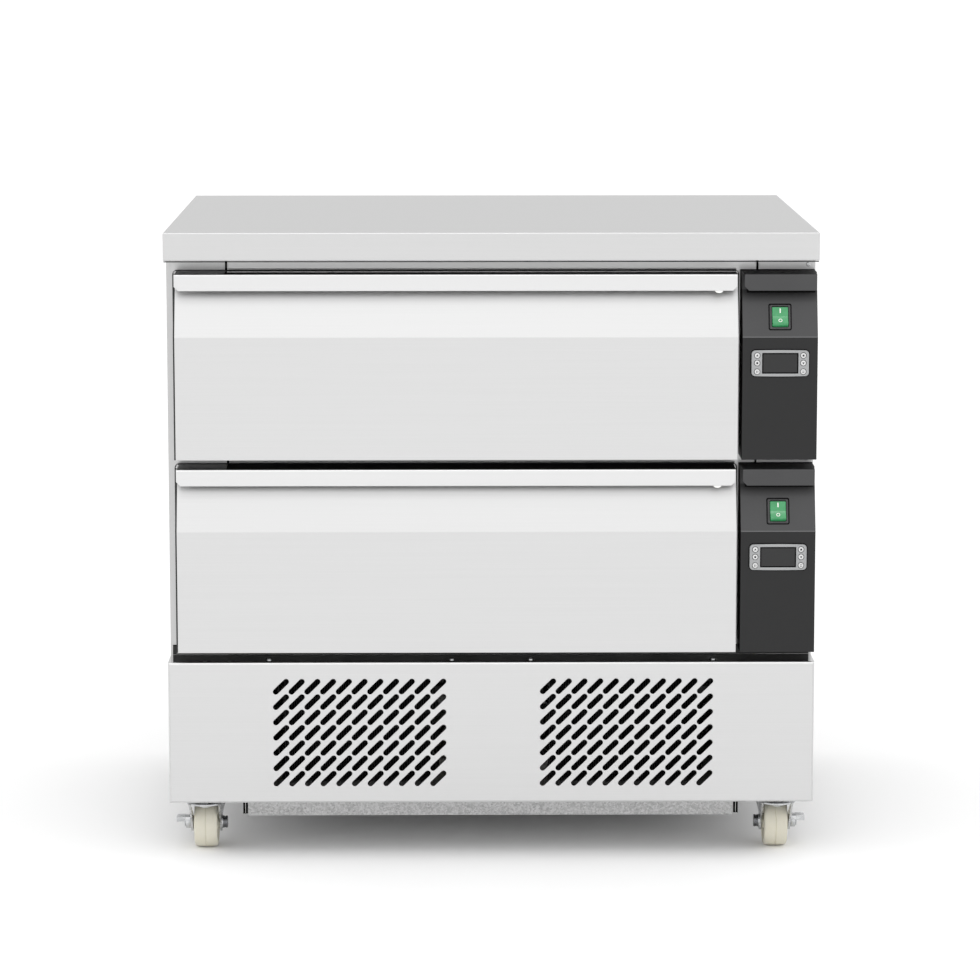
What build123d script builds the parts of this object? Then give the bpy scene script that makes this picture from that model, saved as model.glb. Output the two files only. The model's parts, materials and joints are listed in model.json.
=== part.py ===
from build123d import *
import os
from math import atan2, degrees

# A refrigerated chef base: a low counter on casters with two cold drawers for gastronorm
# pans, one over the other, a black control panel beside each drawer, and a machine
# compartment behind a slotted panel at the foot.
# +X is to the right seen from the front, +Y runs to the back and +Z up.
# The origin is on the floor, under the middle of the counter. All sizes are in millimetres.

os.makedirs("parts", exist_ok=True)


def save(piece, name):
    """Labels a finished piece and writes it as its own file."""
    piece.part.label = name
    export_step(piece.part, f"parts/{name}.step")


def eased(route, cut):
    """The route's points with each sharp corner cut off, so that it turns in two steps."""
    points = [Vector(*point) for point in route]
    line = [points[0]]
    for before, corner, after in zip(points, points[1:], points[2:]):
        line.append(corner + (before - corner).normalized() * cut)
        line.append(corner + (after - corner).normalized() * cut)
    line.append(points[-1])
    return line


# Overall sizes. The thermostats stand proud of the fronts by the same amount as the
# mains inlet stands proud of the back, so the whole is depth + 2 * proud deep.
width = 900
depth = 700
height = 880
proud = 3.6
half_width = width / 2
front = -depth / 2
back = depth / 2
sheet = 1.2

# Heights, from the top down
top_height = 38.5
top_underside = height - top_height
upper_top = 823
drawer_pitch = 270.5
fascia_height = 257.4
lip_height = 23
crease_drop = 87.4
grille_top = 281.4
grille_bottom = 84
body_bottom = 281.4
base_plane = 98

# The fronts stand this far before the face frame
fascia_depth = 60
face_plane = front + fascia_depth
gasket_depth = 8
seal_plane = face_plane - gasket_depth
slope_depth = 28
slope_back = front + slope_depth
lip_thickness = 2.4
lip_corner = 6
lip_bend = 2.6
lip_inset = 2

# Across the front, from left to right
drawer_left = -437.7
drawer_right = 339.9
control_left = 345.6
control_right = 449.2
left_return = 82.5
right_return = 80
opening_left = -405
opening_right = 308
opening_middle = (opening_left + opening_right) / 2
seam_left = -half_width + left_return
seam_right = half_width - right_return

# Each cold cavity, as heights below the top of its drawer front
opening_drop = 25
opening_height = 207
cavity_back = 300

levels = {"upper": upper_top, "lower": upper_top - drawer_pitch}

# Round shapes that only need to look round are prisms with this many sides
wheel_sides = 24
round_sides = 12
small_sides = 10
tiny_sides = 8


def opening_top(level_top):
    return level_top - opening_drop


def opening_bottom(level_top):
    return level_top - opening_drop - opening_height


# Worktop: one stainless sheet folded down on all sides and returned underneath
top_sheet = 1.5
top_edge_radius = 1.5
side_hem = 15
with BuildPart() as worktop:
    with BuildSketch(Plane.XY.offset(top_underside)):
        Rectangle(width, depth)
    extrude(amount=top_height)
    fillet(worktop.edges().group_by(Axis.Z)[-1], top_edge_radius)
    with BuildSketch(Plane.XY.offset(top_underside + top_sheet)):
        Rectangle(width - 2 * top_sheet, depth - 2 * top_sheet)
    extrude(amount=top_height - 2 * top_sheet, mode=Mode.SUBTRACT)
    with BuildSketch(Plane.XY.offset(top_underside)):
        with Locations((0, (fascia_depth - side_hem) / 2)):
            Rectangle(width - 2 * side_hem, depth - fascia_depth - side_hem)
    extrude(amount=top_sheet, mode=Mode.SUBTRACT)
save(worktop, "worktop")

# Side panels: the outer skin with a return at the front and a narrow one at the back.
# The left return is cut away where the drawer openings run past it.
rear_return = 15
wire_hole_radius = 14


def side_panel(side, return_width):
    with BuildPart() as panel:
        with BuildSketch(Plane.XY.offset(base_plane)):
            with Locations((side * (half_width - sheet / 2), (face_plane + back) / 2)):
                Rectangle(sheet, back - face_plane)
            with Locations((side * (half_width - return_width / 2), face_plane + sheet / 2)):
                Rectangle(return_width, sheet)
            with Locations((side * (half_width - rear_return / 2), back - sheet / 2)):
                Rectangle(rear_return, sheet)
        extrude(amount=top_underside - base_plane)
        if side < 0:
            cut_width = return_width + half_width
            with BuildSketch(Plane.XZ.offset(-face_plane)):
                for level_top in levels.values():
                    with Locations((opening_left + cut_width / 2, opening_top(level_top) - opening_height / 2)):
                        Rectangle(cut_width, opening_height)
            extrude(amount=-sheet, mode=Mode.SUBTRACT)
        else:
            with BuildSketch(Plane.XZ.offset(-face_plane)):
                for level_top in levels.values():
                    with Locations(((control_left + control_right) / 2, level_top - fascia_height / 2)):
                        RegularPolygon(wire_hole_radius, small_sides)
            extrude(amount=-sheet, mode=Mode.SUBTRACT)
    return panel


save(side_panel(-1, left_return), "left_side_panel")
save(side_panel(1, right_return), "right_side_panel")

# Face frame: three rails and the wide stile between the cavities and the controls.
# Its seams to the side panels stay open, and a thin dark slot over each drawer breaks
# the path of the cold along the sheet.
seam_gap = 1
slot_gap = 2.5
slot_gap_depth = 12
with BuildPart() as face_frame:
    with BuildSketch(Plane.XZ.offset(-face_plane)):
        with Locations(((seam_left + seam_right) / 2, (top_underside + body_bottom) / 2)):
            Rectangle(seam_right - seam_left - 2 * seam_gap, top_underside - body_bottom)
        opening_width = opening_right - seam_left
        slot_gap_width = drawer_right - seam_left
        for level_top in levels.values():
            with Locations((opening_right - opening_width / 2, opening_top(level_top) - opening_height / 2)):
                Rectangle(opening_width, opening_height, mode=Mode.SUBTRACT)
            with Locations((drawer_right - slot_gap_width / 2, level_top + slot_gap / 2)):
                Rectangle(slot_gap_width, slot_gap, mode=Mode.SUBTRACT)
    extrude(amount=-sheet)
save(face_frame, "face_frame")

# Rear panel, with louvre slots for the machine compartment and a cut-out for the inlet
inlet_x = 330
inlet_z = 190
inlet_width = 28
inlet_height = 20
louvre_height = 100
louvre_width = 7
louvre_pitch = 28
louvre_count = 6
louvre_z = 190
louvre_field_x = 150
with BuildPart() as rear_panel:
    rear_panel_width = width - 2 * rear_return
    with BuildSketch(Plane.XZ.offset(-(back - sheet))):
        with Locations((0, (top_underside + base_plane) / 2)):
            Rectangle(rear_panel_width, top_underside - base_plane)
        with Locations((-louvre_field_x, louvre_z), (louvre_field_x, louvre_z)):
            with GridLocations(louvre_pitch, 1, louvre_count, 1):
                Rectangle(louvre_width, louvre_height, mode=Mode.SUBTRACT)
        with Locations((inlet_x, inlet_z)):
            Rectangle(inlet_width, inlet_height, mode=Mode.SUBTRACT)
    extrude(amount=-sheet)
save(rear_panel, "rear_panel")

# Mains inlet socket in the rear panel: flange, moulded body and three flat pins
inlet_flange_width = 50
inlet_body_depth = 24
inlet_wall = 2
with BuildPart() as power_inlet:
    with BuildSketch(Plane.XZ.offset(-back)):
        with Locations((inlet_x, inlet_z)):
            inlet_flange = Rectangle(inlet_flange_width, inlet_height + 8)
        chamfer(inlet_flange.vertices(), 4)
    extrude(amount=-proud)
    with BuildSketch(Plane.XZ.offset(-back)):
        with Locations((inlet_x, inlet_z)):
            Rectangle(inlet_width, inlet_height)
    extrude(amount=inlet_body_depth)
    with BuildSketch(Plane.XZ.offset(-(back + proud))):
        with Locations((inlet_x, inlet_z)):
            Rectangle(inlet_width - 2 * inlet_wall, inlet_height - 2 * inlet_wall)
    extrude(amount=proud + inlet_body_depth - inlet_wall, mode=Mode.SUBTRACT)
    with BuildSketch(Plane.XZ.offset(-(back - inlet_body_depth + inlet_wall))):
        with Locations((inlet_x - 7, inlet_z), (inlet_x, inlet_z + 3), (inlet_x + 7, inlet_z)):
            Rectangle(2, 4)
    extrude(amount=-16)
save(power_inlet, "power_inlet")

# Insulation: foam between the skins, the worktop and the two cavity liners, with a
# channel behind the controls for their wiring
channel_left = 376
channel_depth = 50
skin = sheet
with BuildPart() as insulation:
    foam_left = -half_width + skin
    with BuildSketch(Plane.XY.offset(body_bottom)):
        with Locations((0, (face_plane + back) / 2)):
            Rectangle(width - 2 * skin, back - face_plane - 2 * skin)
    extrude(amount=top_underside - body_bottom)
    with BuildSketch(Plane.XY.offset(top_underside)):
        with Locations((0, (fascia_depth - side_hem) / 2)):
            Rectangle(width - 2 * side_hem, depth - fascia_depth - side_hem)
    extrude(amount=top_sheet)
    with BuildSketch(Plane.XY.offset(top_underside + top_sheet)):
        Rectangle(width - 2 * top_sheet, depth - 2 * top_sheet)
    extrude(amount=top_height - 2 * top_sheet)
    with BuildSketch(Plane.XZ.offset(-(face_plane + skin))):
        for level_top in levels.values():
            with Locations((opening_middle, opening_top(level_top) - opening_height / 2)):
                Rectangle(opening_right - opening_left + 2 * sheet, opening_height + 2 * sheet)
    extrude(amount=-(cavity_back + sheet - face_plane - skin), mode=Mode.SUBTRACT)
    with BuildSketch(Plane.XZ.offset(-(face_plane + skin))):
        for level_top in levels.values():
            with Locations((drawer_right - slot_gap_width / 2, level_top + slot_gap / 2)):
                Rectangle(slot_gap_width, slot_gap)
    extrude(amount=-slot_gap_depth, mode=Mode.SUBTRACT)
    with BuildSketch(Plane.XY.offset(body_bottom)):
        with Locations(((channel_left + control_right - 3) / 2, face_plane + skin + channel_depth / 2)):
            Rectangle(control_right - 3 - channel_left, channel_depth)
    extrude(amount=upper_top - 60 - body_bottom, mode=Mode.SUBTRACT)
save(insulation, "insulation")


# Cavity liners: five stainless panels round each cavity, which is open at the front.
# They lie against the foam and meet at thin sealed seams.
liner_seam = 0.1


def cavity_liner(level_top):
    liner_front = face_plane + skin
    middle_z = opening_top(level_top) - opening_height / 2
    panel_width = opening_right - opening_left + 2 * sheet
    with BuildPart() as liner:
        with BuildSketch(Plane.XZ.offset(-cavity_back)):
            with Locations((opening_middle, middle_z)):
                Rectangle(panel_width, opening_height + 2 * sheet)
        extrude(amount=-sheet)
        with BuildSketch(Plane.XZ.offset(-liner_front)):
            with Locations((opening_left - sheet / 2, middle_z), (opening_right + sheet / 2, middle_z)):
                Rectangle(sheet, opening_height - 2 * liner_seam)
            for panel_z in (opening_top(level_top) + sheet / 2, opening_bottom(level_top) - sheet / 2):
                with Locations((opening_middle, panel_z)):
                    Rectangle(panel_width, sheet)
        extrude(amount=-(cavity_back - liner_seam - liner_front))
    return liner


for level_name, level_top in levels.items():
    save(cavity_liner(level_top), f"{level_name}_liner")

# Evaporators: a finned block on the back wall of each cavity
fin_thickness = 2
evaporator_fins = 9
evaporator_pitch = 62
evaporator_height = 150
evaporator_depth = 36
evaporator_spine = 5
with BuildPart() as evaporators:
    evaporator_width = (evaporator_fins - 1) * evaporator_pitch + fin_thickness
    for level_top in levels.values():
        middle_z = opening_top(level_top) - opening_height / 2
        with BuildSketch(Plane.XY.offset(middle_z - evaporator_height / 2)):
            with Locations((opening_middle, cavity_back - evaporator_spine / 2)):
                Rectangle(evaporator_width, evaporator_spine)
            with Locations((opening_middle, cavity_back - evaporator_depth / 2)):
                with GridLocations(evaporator_pitch, 1, evaporator_fins, 1):
                    Rectangle(fin_thickness, evaporator_depth)
        extrude(amount=evaporator_height)
save(evaporators, "evaporators")

# Telescopic drawer runners, three nested channels on each side of each cavity.
# Distances run from the cavity's side wall inwards.
runner_front = face_plane + 5
runner_length = 540
runner_drop = 87
outer_reach, outer_half = 11, 22.5
middle_near, middle_reach, middle_half = 1.5, 10.5, 21.2
inner_near, inner_reach, inner_half = 3.2, 12.7, 19.9
runner_sheet = 1.2


def channel_section(wall, inward, centre_z, near, far, half_height, open_side):
    """One C-shaped section in the sketch in hand, its web at the near or the far side."""
    with Locations((wall + inward * (near + far) / 2, centre_z)):
        Rectangle(far - near, 2 * half_height)
    shift = runner_sheet if open_side == "far" else -runner_sheet
    with Locations((wall + inward * (near + far + shift) / 2, centre_z)):
        Rectangle(far - near - runner_sheet, 2 * (half_height - runner_sheet), mode=Mode.SUBTRACT)


walls = ((opening_left, 1), (opening_right, -1))
with BuildPart() as outer_runners:
    for level_top in levels.values():
        for wall, inward in walls:
            with BuildSketch(Plane.XZ.offset(-runner_front)):
                channel_section(wall, inward, opening_top(level_top) - runner_drop, 0, outer_reach, outer_half, "far")
            extrude(amount=-runner_length)
save(outer_runners, "outer_runners")

for level_name, level_top in levels.items():
    with BuildPart() as middle_runners:
        for wall, inward in walls:
            centre_z = opening_top(level_top) - runner_drop
            with BuildSketch(Plane.XZ.offset(-runner_front)):
                channel_section(wall, inward, centre_z, middle_near, middle_reach, middle_half, "far")
            extrude(amount=-runner_length)
    save(middle_runners, f"{level_name}_middle_runners")

# Drawer frames: the inner runners, a rectangular tray frame and the ledge that pans hang on
frame_left = opening_left + inner_reach
frame_right = opening_right - inner_reach
frame_back = 250
frame_sheet = 1.5
frame_height = 92
frame_drop = 16
ledge_drop = 6
pan_opening_width = 630
pan_opening_depth = 512


def drawer_frame(level_top):
    frame_top = opening_top(level_top) - frame_drop
    centre_y = (seal_plane + frame_back) / 2
    outside = (frame_right - frame_left, frame_back - seal_plane)
    with BuildPart() as frame:
        with BuildSketch(Plane.XY.offset(frame_top - frame_height)):
            with Locations((opening_middle, centre_y)):
                Rectangle(*outside)
                Rectangle(outside[0] - 2 * frame_sheet, outside[1] - 2 * frame_sheet, mode=Mode.SUBTRACT)
        extrude(amount=frame_height)
        with BuildSketch(Plane.XY.offset(frame_top - ledge_drop)):
            with Locations((opening_middle, centre_y)):
                Rectangle(*outside)
                Rectangle(pan_opening_width, pan_opening_depth, mode=Mode.SUBTRACT)
        extrude(amount=-frame_sheet)
        for wall, inward in walls:
            with BuildSketch(Plane.XZ.offset(-runner_front)):
                centre_z = opening_top(level_top) - runner_drop
                channel_section(wall, inward, centre_z, inner_near, inner_reach, inner_half, "near")
            extrude(amount=-(frame_back - runner_front))
    return frame


for level_name, level_top in levels.items():
    save(drawer_frame(level_top), f"{level_name}_drawer_frame")


# Fascias. Drawer fronts and control panels share one folded profile: an upright face,
# a crease, a slope that leans back, a top flange and a lip hanging from its front edge.
def fascia_outline(level_top, back_plane):
    """The corners of the profile, seen from the right."""
    bottom = level_top - fascia_height
    crease = level_top - crease_drop
    return (
        (front, bottom),
        (front, crease),
        (slope_back, level_top),
        (back_plane, level_top),
        (back_plane, bottom),
    )


def fascia(level_top, left, right, back_plane, wall, cut_corners):
    """A hollow folded front, open at the back, with its lip and bent top edge."""
    lip_left = left + lip_inset
    lip_right = right - lip_inset
    with BuildPart() as shell:
        with BuildSketch(Plane.YZ.offset(left)):
            with BuildLine():
                Polyline(*fascia_outline(level_top, back_plane), close=True)
            make_face()
        extrude(amount=right - left)
        with BuildSketch(Plane.YZ.offset(left + wall)):
            with BuildLine():
                Polyline(*fascia_outline(level_top, back_plane + wall), close=True)
            make_face()
            offset(amount=-wall, kind=Kind.INTERSECTION)
        extrude(amount=right - left - 2 * wall, mode=Mode.SUBTRACT)
        with BuildSketch(Plane.YZ.offset(lip_left)):
            with Locations(((front + slope_back + 4) / 2, level_top - wall / 2)):
                Rectangle(slope_depth + 4, wall)
            with Locations((front + lip_thickness / 2, level_top - lip_height / 2)):
                Rectangle(lip_thickness, lip_height)
        extrude(amount=lip_right - lip_left)
        top_edge = shell.edges().filter_by(Axis.X).group_by(Axis.Y)[0].sort_by(Axis.Z)[-1]
        fillet(top_edge, lip_bend)
        with BuildSketch(Plane.XZ.offset(-front)):
            for corner_x in cut_corners:
                with Locations((corner_x, level_top - lip_height)):
                    Rectangle(lip_corner * 2**0.5, lip_corner * 2**0.5, rotation=45)
        extrude(amount=-lip_thickness, mode=Mode.SUBTRACT)
    return shell


for level_name, level_top in levels.items():
    lip_ends = (drawer_left + lip_inset, drawer_right - lip_inset)
    drawer_front = fascia(level_top, drawer_left, drawer_right, seal_plane, sheet, lip_ends)
    save(drawer_front, f"{level_name}_drawer_front")

# Inner panel and foam of each drawer front: fills the folded front and closes its back
for level_name, level_top in levels.items():
    with BuildPart() as drawer_core:
        with BuildSketch(Plane.YZ.offset(drawer_left + sheet)):
            with BuildLine():
                Polyline(*fascia_outline(level_top, seal_plane + sheet), close=True)
            make_face()
            offset(amount=-sheet, kind=Kind.INTERSECTION)
        extrude(amount=drawer_right - drawer_left - 2 * sheet)
    save(drawer_core, f"{level_name}_drawer_core")

# Gaskets: a magnetic seal round the back of each drawer front
gasket_margin = 4
gasket_width = 18
gasket_clearance = 0.3
for level_name, level_top in levels.items():
    with BuildPart() as gasket:
        with BuildSketch(Plane.XZ.offset(-seal_plane)):
            with Locations((opening_middle, opening_top(level_top) - opening_height / 2)):
                inner_width = opening_right - opening_left + 2 * gasket_margin
                inner_height = opening_height + 2 * gasket_margin
                outer_edge = Rectangle(inner_width + 2 * gasket_width, inner_height + 2 * gasket_width)
                chamfer(outer_edge.vertices(), 4)
                Rectangle(inner_width, inner_height, mode=Mode.SUBTRACT)
        extrude(amount=-(gasket_depth - gasket_clearance))
        chamfer(gasket.faces().sort_by(Axis.Y)[-1].inner_wires()[0].edges(), 2.5)
    save(gasket, f"{level_name}_gasket")

# Control panels: the same fascia in black, with cut-outs for the rocker and the thermostat
control_wall = 2
control_x = (control_left + control_right) / 2
switch_drop = 60.2
switch_cut_width, switch_cut_height = 26, 32
thermostat_drop = 123.1
thermostat_cut_width, thermostat_cut_height = 73, 33
slope_angle = degrees(atan2(slope_depth, crease_drop))


def switch_plane(level_top):
    """A plane on the slope at the middle of the rocker, its normal out of the slope."""
    back_step = slope_depth * (crease_drop - switch_drop) / crease_drop
    centre = (control_x, front + back_step, level_top - switch_drop)
    return Plane(origin=centre, x_dir=(1, 0, 0), z_dir=(0, -crease_drop, slope_depth))


for level_name, level_top in levels.items():
    panel = fascia(level_top, control_left, control_right, face_plane, control_wall, (control_left + lip_inset,))
    with BuildPart() as control_panel:
        add(panel.part)
        with BuildSketch(switch_plane(level_top)):
            Rectangle(switch_cut_width, switch_cut_height)
        extrude(amount=6, both=True, mode=Mode.SUBTRACT)
        with BuildSketch(Plane.XZ.offset(-front)):
            with Locations((control_x, level_top - thermostat_drop)):
                Rectangle(thermostat_cut_width, thermostat_cut_height)
        extrude(amount=-6, mode=Mode.SUBTRACT)
    save(control_panel, f"{level_name}_control_panel")

# Rocker switches: a bezel and body in the slope, and a rocker that tips about its middle
bezel_width, bezel_height = 32, 37.5
bezel_thickness = 2
window_width, window_height = 22.6, 29.6
switch_body_depth = 20
pivot_depth = 3.5
rocker_width = 22
rocker_radius = 14.5
rocker_flat = 2.4
rocker_rise = 0.404
trunnion_radius = 2
trunnion_gap = 0.05
with BuildPart() as switch_bodies:
    for level_top in levels.values():
        slope = switch_plane(level_top)
        with BuildSketch(slope) as bezel:
            Rectangle(bezel_width, bezel_height)
            chamfer(bezel.vertices(), 1.5)
        extrude(amount=bezel_thickness)
        with BuildSketch(slope):
            Rectangle(switch_cut_width, switch_cut_height)
        extrude(amount=-switch_body_depth)
        with BuildSketch(slope.offset(bezel_thickness)):
            Rectangle(window_width, window_height)
        extrude(amount=-(bezel_thickness + switch_body_depth - 1.5), mode=Mode.SUBTRACT)
        pivot = slope.offset(-pivot_depth).origin
        with BuildSketch(Plane(origin=pivot, x_dir=slope.y_dir, z_dir=slope.x_dir)):
            RegularPolygon(trunnion_radius + trunnion_gap, small_sides, major_radius=False)
        extrude(amount=switch_cut_width / 2, both=True, mode=Mode.SUBTRACT)
save(switch_bodies, "switch_bodies")

for level_name, level_top in levels.items():
    slope = switch_plane(level_top)
    # Seen from the right: the sketch's x runs up the slope and its y out of it
    side_view = Plane(origin=slope.origin - slope.x_dir * rocker_width / 2, x_dir=slope.y_dir, z_dir=slope.x_dir)
    with BuildPart() as rocker:
        with BuildSketch(side_view):
            with Locations((0, -pivot_depth)):
                RegularPolygon(rocker_radius, round_sides)
            with BuildLine():
                Polyline(
                    (rocker_radius * 2, rocker_flat),
                    (0, rocker_flat),
                    (-rocker_radius * 2, rocker_flat + rocker_radius * 2 * rocker_rise),
                    (-rocker_radius * 2, -13),
                    (rocker_radius * 2, -13),
                    close=True,
                )
            make_face(mode=Mode.INTERSECT)
        extrude(amount=rocker_width)
        with BuildSketch(side_view.offset(-1)):
            with Locations((0, -pivot_depth)):
                RegularPolygon(trunnion_radius, small_sides)
        extrude(amount=rocker_width + 2)
    save(rocker, f"{level_name}_rocker")

# Thermostats: a bezel and case behind the upright face, a display and six keys each
thermostat_width, thermostat_height = 79, 36.6
thermostat_bezel = 3
case_depth = 46
display_width, display_height = 50, 28.6
display_recess = 1
key_columns = (-31.8, 31.8)
key_rows = {"top": 10.8, "middle": 0.4, "bottom": -11.6}
key_radius = 3.6
key_clearance = 0.3
key_pocket = 4
with BuildPart() as thermostats:
    for level_top in levels.values():
        centre_z = level_top - thermostat_drop
        with BuildSketch(Plane.XZ.offset(-front)) as face_plate:
            with Locations((control_x, centre_z)):
                Rectangle(thermostat_width, thermostat_height)
            chamfer(face_plate.vertices(), 3.5)
        extrude(amount=thermostat_bezel)
        with BuildSketch(Plane.XZ.offset(-front)):
            with Locations((control_x, centre_z)):
                Rectangle(thermostat_cut_width, thermostat_cut_height)
        extrude(amount=-case_depth)
        with BuildSketch(Plane.XZ.offset(-(front - thermostat_bezel))):
            with Locations((control_x, centre_z)):
                Rectangle(display_width, display_height)
        extrude(amount=-(thermostat_bezel - 0.5), mode=Mode.SUBTRACT)
        with BuildSketch(Plane.XZ.offset(-(front - thermostat_bezel))):
            for column in key_columns:
                for row in key_rows.values():
                    with Locations((control_x + column, centre_z + row)):
                        RegularPolygon(key_radius + key_clearance, tiny_sides)
        extrude(amount=-(thermostat_bezel + key_pocket), mode=Mode.SUBTRACT)
save(thermostats, "thermostats")

with BuildPart() as displays:
    for level_top in levels.values():
        with BuildSketch(Plane.XZ.offset(-(front - thermostat_bezel + display_recess))):
            with Locations((control_x, level_top - thermostat_drop)):
                Rectangle(display_width, display_height)
        extrude(amount=-(thermostat_bezel - 0.5 - display_recess))
save(displays, "displays")

key_travel = 0.6
key_length = thermostat_bezel + key_pocket + (proud - thermostat_bezel) - key_travel - 0.2
for level_name, level_top in levels.items():
    for column_name, column in zip(("left", "right"), key_columns):
        for row_name, row in key_rows.items():
            with BuildPart() as key:
                with BuildSketch(Plane.XZ.offset(-(front - proud))):
                    with Locations((control_x + column, level_top - thermostat_drop + row)):
                        RegularPolygon(key_radius, tiny_sides)
                extrude(amount=-key_length)
            save(key, f"{level_name}_key_{column_name}_{row_name}")

# Grille panel: a folded tray that stands before the machine compartment.
# Two fields of slanted slots let air in and out.
grille_sheet = 1.5
grille_hem = 25
slot_length = 28.5
slot_width = 6.5
slot_slant = 44.5
slot_pitch_x = 22
slot_pitch_z = 21.8
slot_columns = 11
slot_rows = 7
slot_field_x = 186
slot_field_z = 181.8
slot_shoulder = slot_length / 2 - 0.45 * slot_width
with BuildSketch(Plane.XY) as slot:
    with BuildLine():
        Polyline(
            (slot_length / 2, 0),
            (slot_shoulder, slot_width / 2),
            (-slot_shoulder, slot_width / 2),
            (-slot_length / 2, 0),
            (-slot_shoulder, -slot_width / 2),
            (slot_shoulder, -slot_width / 2),
            close=True,
        )
    make_face()
with BuildPart() as grille_panel:
    grille_height = grille_top - grille_bottom
    middle_z = (grille_top + grille_bottom) / 2
    with BuildSketch(Plane.XZ.offset(-front)):
        with Locations((0, middle_z)):
            Rectangle(width, grille_height)
    extrude(amount=-fascia_depth)
    with BuildSketch(Plane.XZ.offset(-(front + grille_sheet))):
        with Locations((0, middle_z)):
            Rectangle(width - 2 * grille_sheet, grille_height - 2 * grille_sheet)
    extrude(amount=-fascia_depth, mode=Mode.SUBTRACT)
    with BuildSketch(Plane.XY.offset(grille_bottom)):
        with Locations((0, (front + grille_hem + face_plane) / 2)):
            Rectangle(width - 2 * grille_sheet, face_plane - front - grille_hem)
    extrude(amount=grille_sheet, mode=Mode.SUBTRACT)
    with BuildSketch(Plane.XZ.offset(-front)) as slots:
        with Locations((-slot_field_x, slot_field_z), (slot_field_x, slot_field_z)):
            with GridLocations(slot_pitch_x, slot_pitch_z, slot_columns, slot_rows):
                add(slot.sketch, rotation=slot_slant)
    extrude(amount=-grille_sheet, mode=Mode.SUBTRACT)
save(grille_panel, "grille_panel")

# Base chassis: the floor plate of the machine compartment, with a hole over the base tray,
# and turned-up edges that the side and rear panels are fixed to
chassis_sheet = 2
chassis_half_width = 447
chassis_front = -345
chassis_back = 346
chassis_edge = 22
tray_half_width = 345.8
tray_half_depth = 245
with BuildPart() as base_chassis:
    with BuildSketch(Plane.XY.offset(base_plane)):
        with Locations((0, (chassis_front + chassis_back) / 2)):
            Rectangle(2 * chassis_half_width, chassis_back - chassis_front)
    extrude(amount=chassis_edge)
    with BuildSketch(Plane.XY.offset(base_plane + chassis_sheet)):
        with Locations((0, (chassis_front + chassis_back) / 2 - chassis_sheet)):
            Rectangle(2 * (chassis_half_width - chassis_sheet), chassis_back - chassis_front)
    extrude(amount=chassis_edge, mode=Mode.SUBTRACT)
    with BuildSketch(Plane.XY.offset(base_plane)):
        Rectangle(2 * (tray_half_width - sheet), 2 * (tray_half_depth - sheet))
    extrude(amount=chassis_sheet, mode=Mode.SUBTRACT)
    # The face frame and the side panels' returns stand in notches in the edges
    with BuildSketch(Plane.XY.offset(base_plane)):
        for side in (-1, 1):
            with Locations((side * (half_width - left_return / 2), face_plane + sheet / 2)):
                Rectangle(left_return + 2, sheet + 0.4)
    extrude(amount=chassis_edge, mode=Mode.SUBTRACT)
save(base_chassis, "base_chassis")

# Base tray: a galvanised pan under the chassis that carries the compressors,
# with its ends folded over and down outside the walls
tray_bottom = 39
tray_end = 7.5
tray_flange = 12
with BuildPart() as base_tray:
    with BuildSketch(Plane.XY.offset(tray_bottom)):
        Rectangle(2 * tray_half_width, 2 * tray_half_depth)
    extrude(amount=base_plane - tray_bottom)
    with BuildSketch(Plane.XY.offset(tray_bottom + sheet)):
        Rectangle(2 * (tray_half_width - sheet), 2 * (tray_half_depth - sheet))
    extrude(amount=base_plane - tray_bottom, mode=Mode.SUBTRACT)
    with BuildSketch(Plane.XZ.offset(tray_half_depth)):
        for side in (-1, 1):
            end_x = side * (tray_half_width + tray_end / 2)
            with Locations((end_x, base_plane - sheet / 2)):
                Rectangle(tray_end, sheet)
            with Locations((side * (tray_half_width + tray_end - sheet / 2), (base_plane + tray_bottom + 2) / 2)):
                Rectangle(sheet, base_plane - tray_bottom - 2)
    extrude(amount=-2 * tray_half_depth)
    with BuildSketch(Plane.XY.offset(base_plane - sheet)):
        for side in (-1, 1):
            with Locations((0, side * (tray_half_depth + tray_flange / 2))):
                Rectangle(2 * tray_half_width, tray_flange)
    extrude(amount=sheet)
save(base_tray, "base_tray")

# Condensers: finned blocks behind the slot fields, with return bends on one side
condenser_fins = 10
condenser_pitch = 23
condenser_front = -300
condenser_depth = 44
condenser_height = 150
condenser_spine = 8
condenser_bottom = base_plane + chassis_sheet
condenser_width = (condenser_fins - 1) * condenser_pitch + fin_thickness
circuit_x = (-slot_field_x, slot_field_x)
bend_radius = 11
bend_tube = 4
with BuildPart() as condensers:
    for centre_x in circuit_x:
        with BuildSketch(Plane.XY.offset(condenser_bottom)):
            with Locations((centre_x, condenser_front + condenser_depth - condenser_spine / 2)):
                Rectangle(condenser_width, condenser_spine)
            with Locations((centre_x, condenser_front + condenser_depth / 2)):
                with GridLocations(condenser_pitch, 1, condenser_fins, 1):
                    Rectangle(fin_thickness, condenser_depth)
        extrude(amount=condenser_height)
        side_x = centre_x - condenser_width / 2
        bend_y = condenser_front + condenser_depth / 2
        bend_z = condenser_bottom + condenser_height / 2
        return_bend = (
            (side_x + 1, bend_y, bend_z - bend_radius),
            (side_x - bend_radius, bend_y, bend_z - bend_radius),
            (side_x - bend_radius, bend_y, bend_z + bend_radius),
            (side_x + 1, bend_y, bend_z + bend_radius),
        )
        with BuildLine() as bend:
            Polyline(*eased(return_bend, bend_radius / 2))
        with BuildSketch(Plane(origin=bend.line @ 0, z_dir=bend.line % 0)):
            RegularPolygon(bend_tube, 6)
        sweep(path=bend.line, transition=Transition.RIGHT)
save(condensers, "condensers")

# Fan shrouds: a plate with a throat behind each condenser, and the motor on three arms
shroud_sheet = 1.5
throat_radius = 72
throat_depth = 30
motor_radius = 26
motor_length = 46
motor_gap = 26
shaft_radius = 4
shaft_gap = 0.05
arm_count = 3
shroud_height = 166
fan_z = condenser_bottom + condenser_height / 2 + 8
shroud_front = condenser_front + condenser_depth


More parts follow.
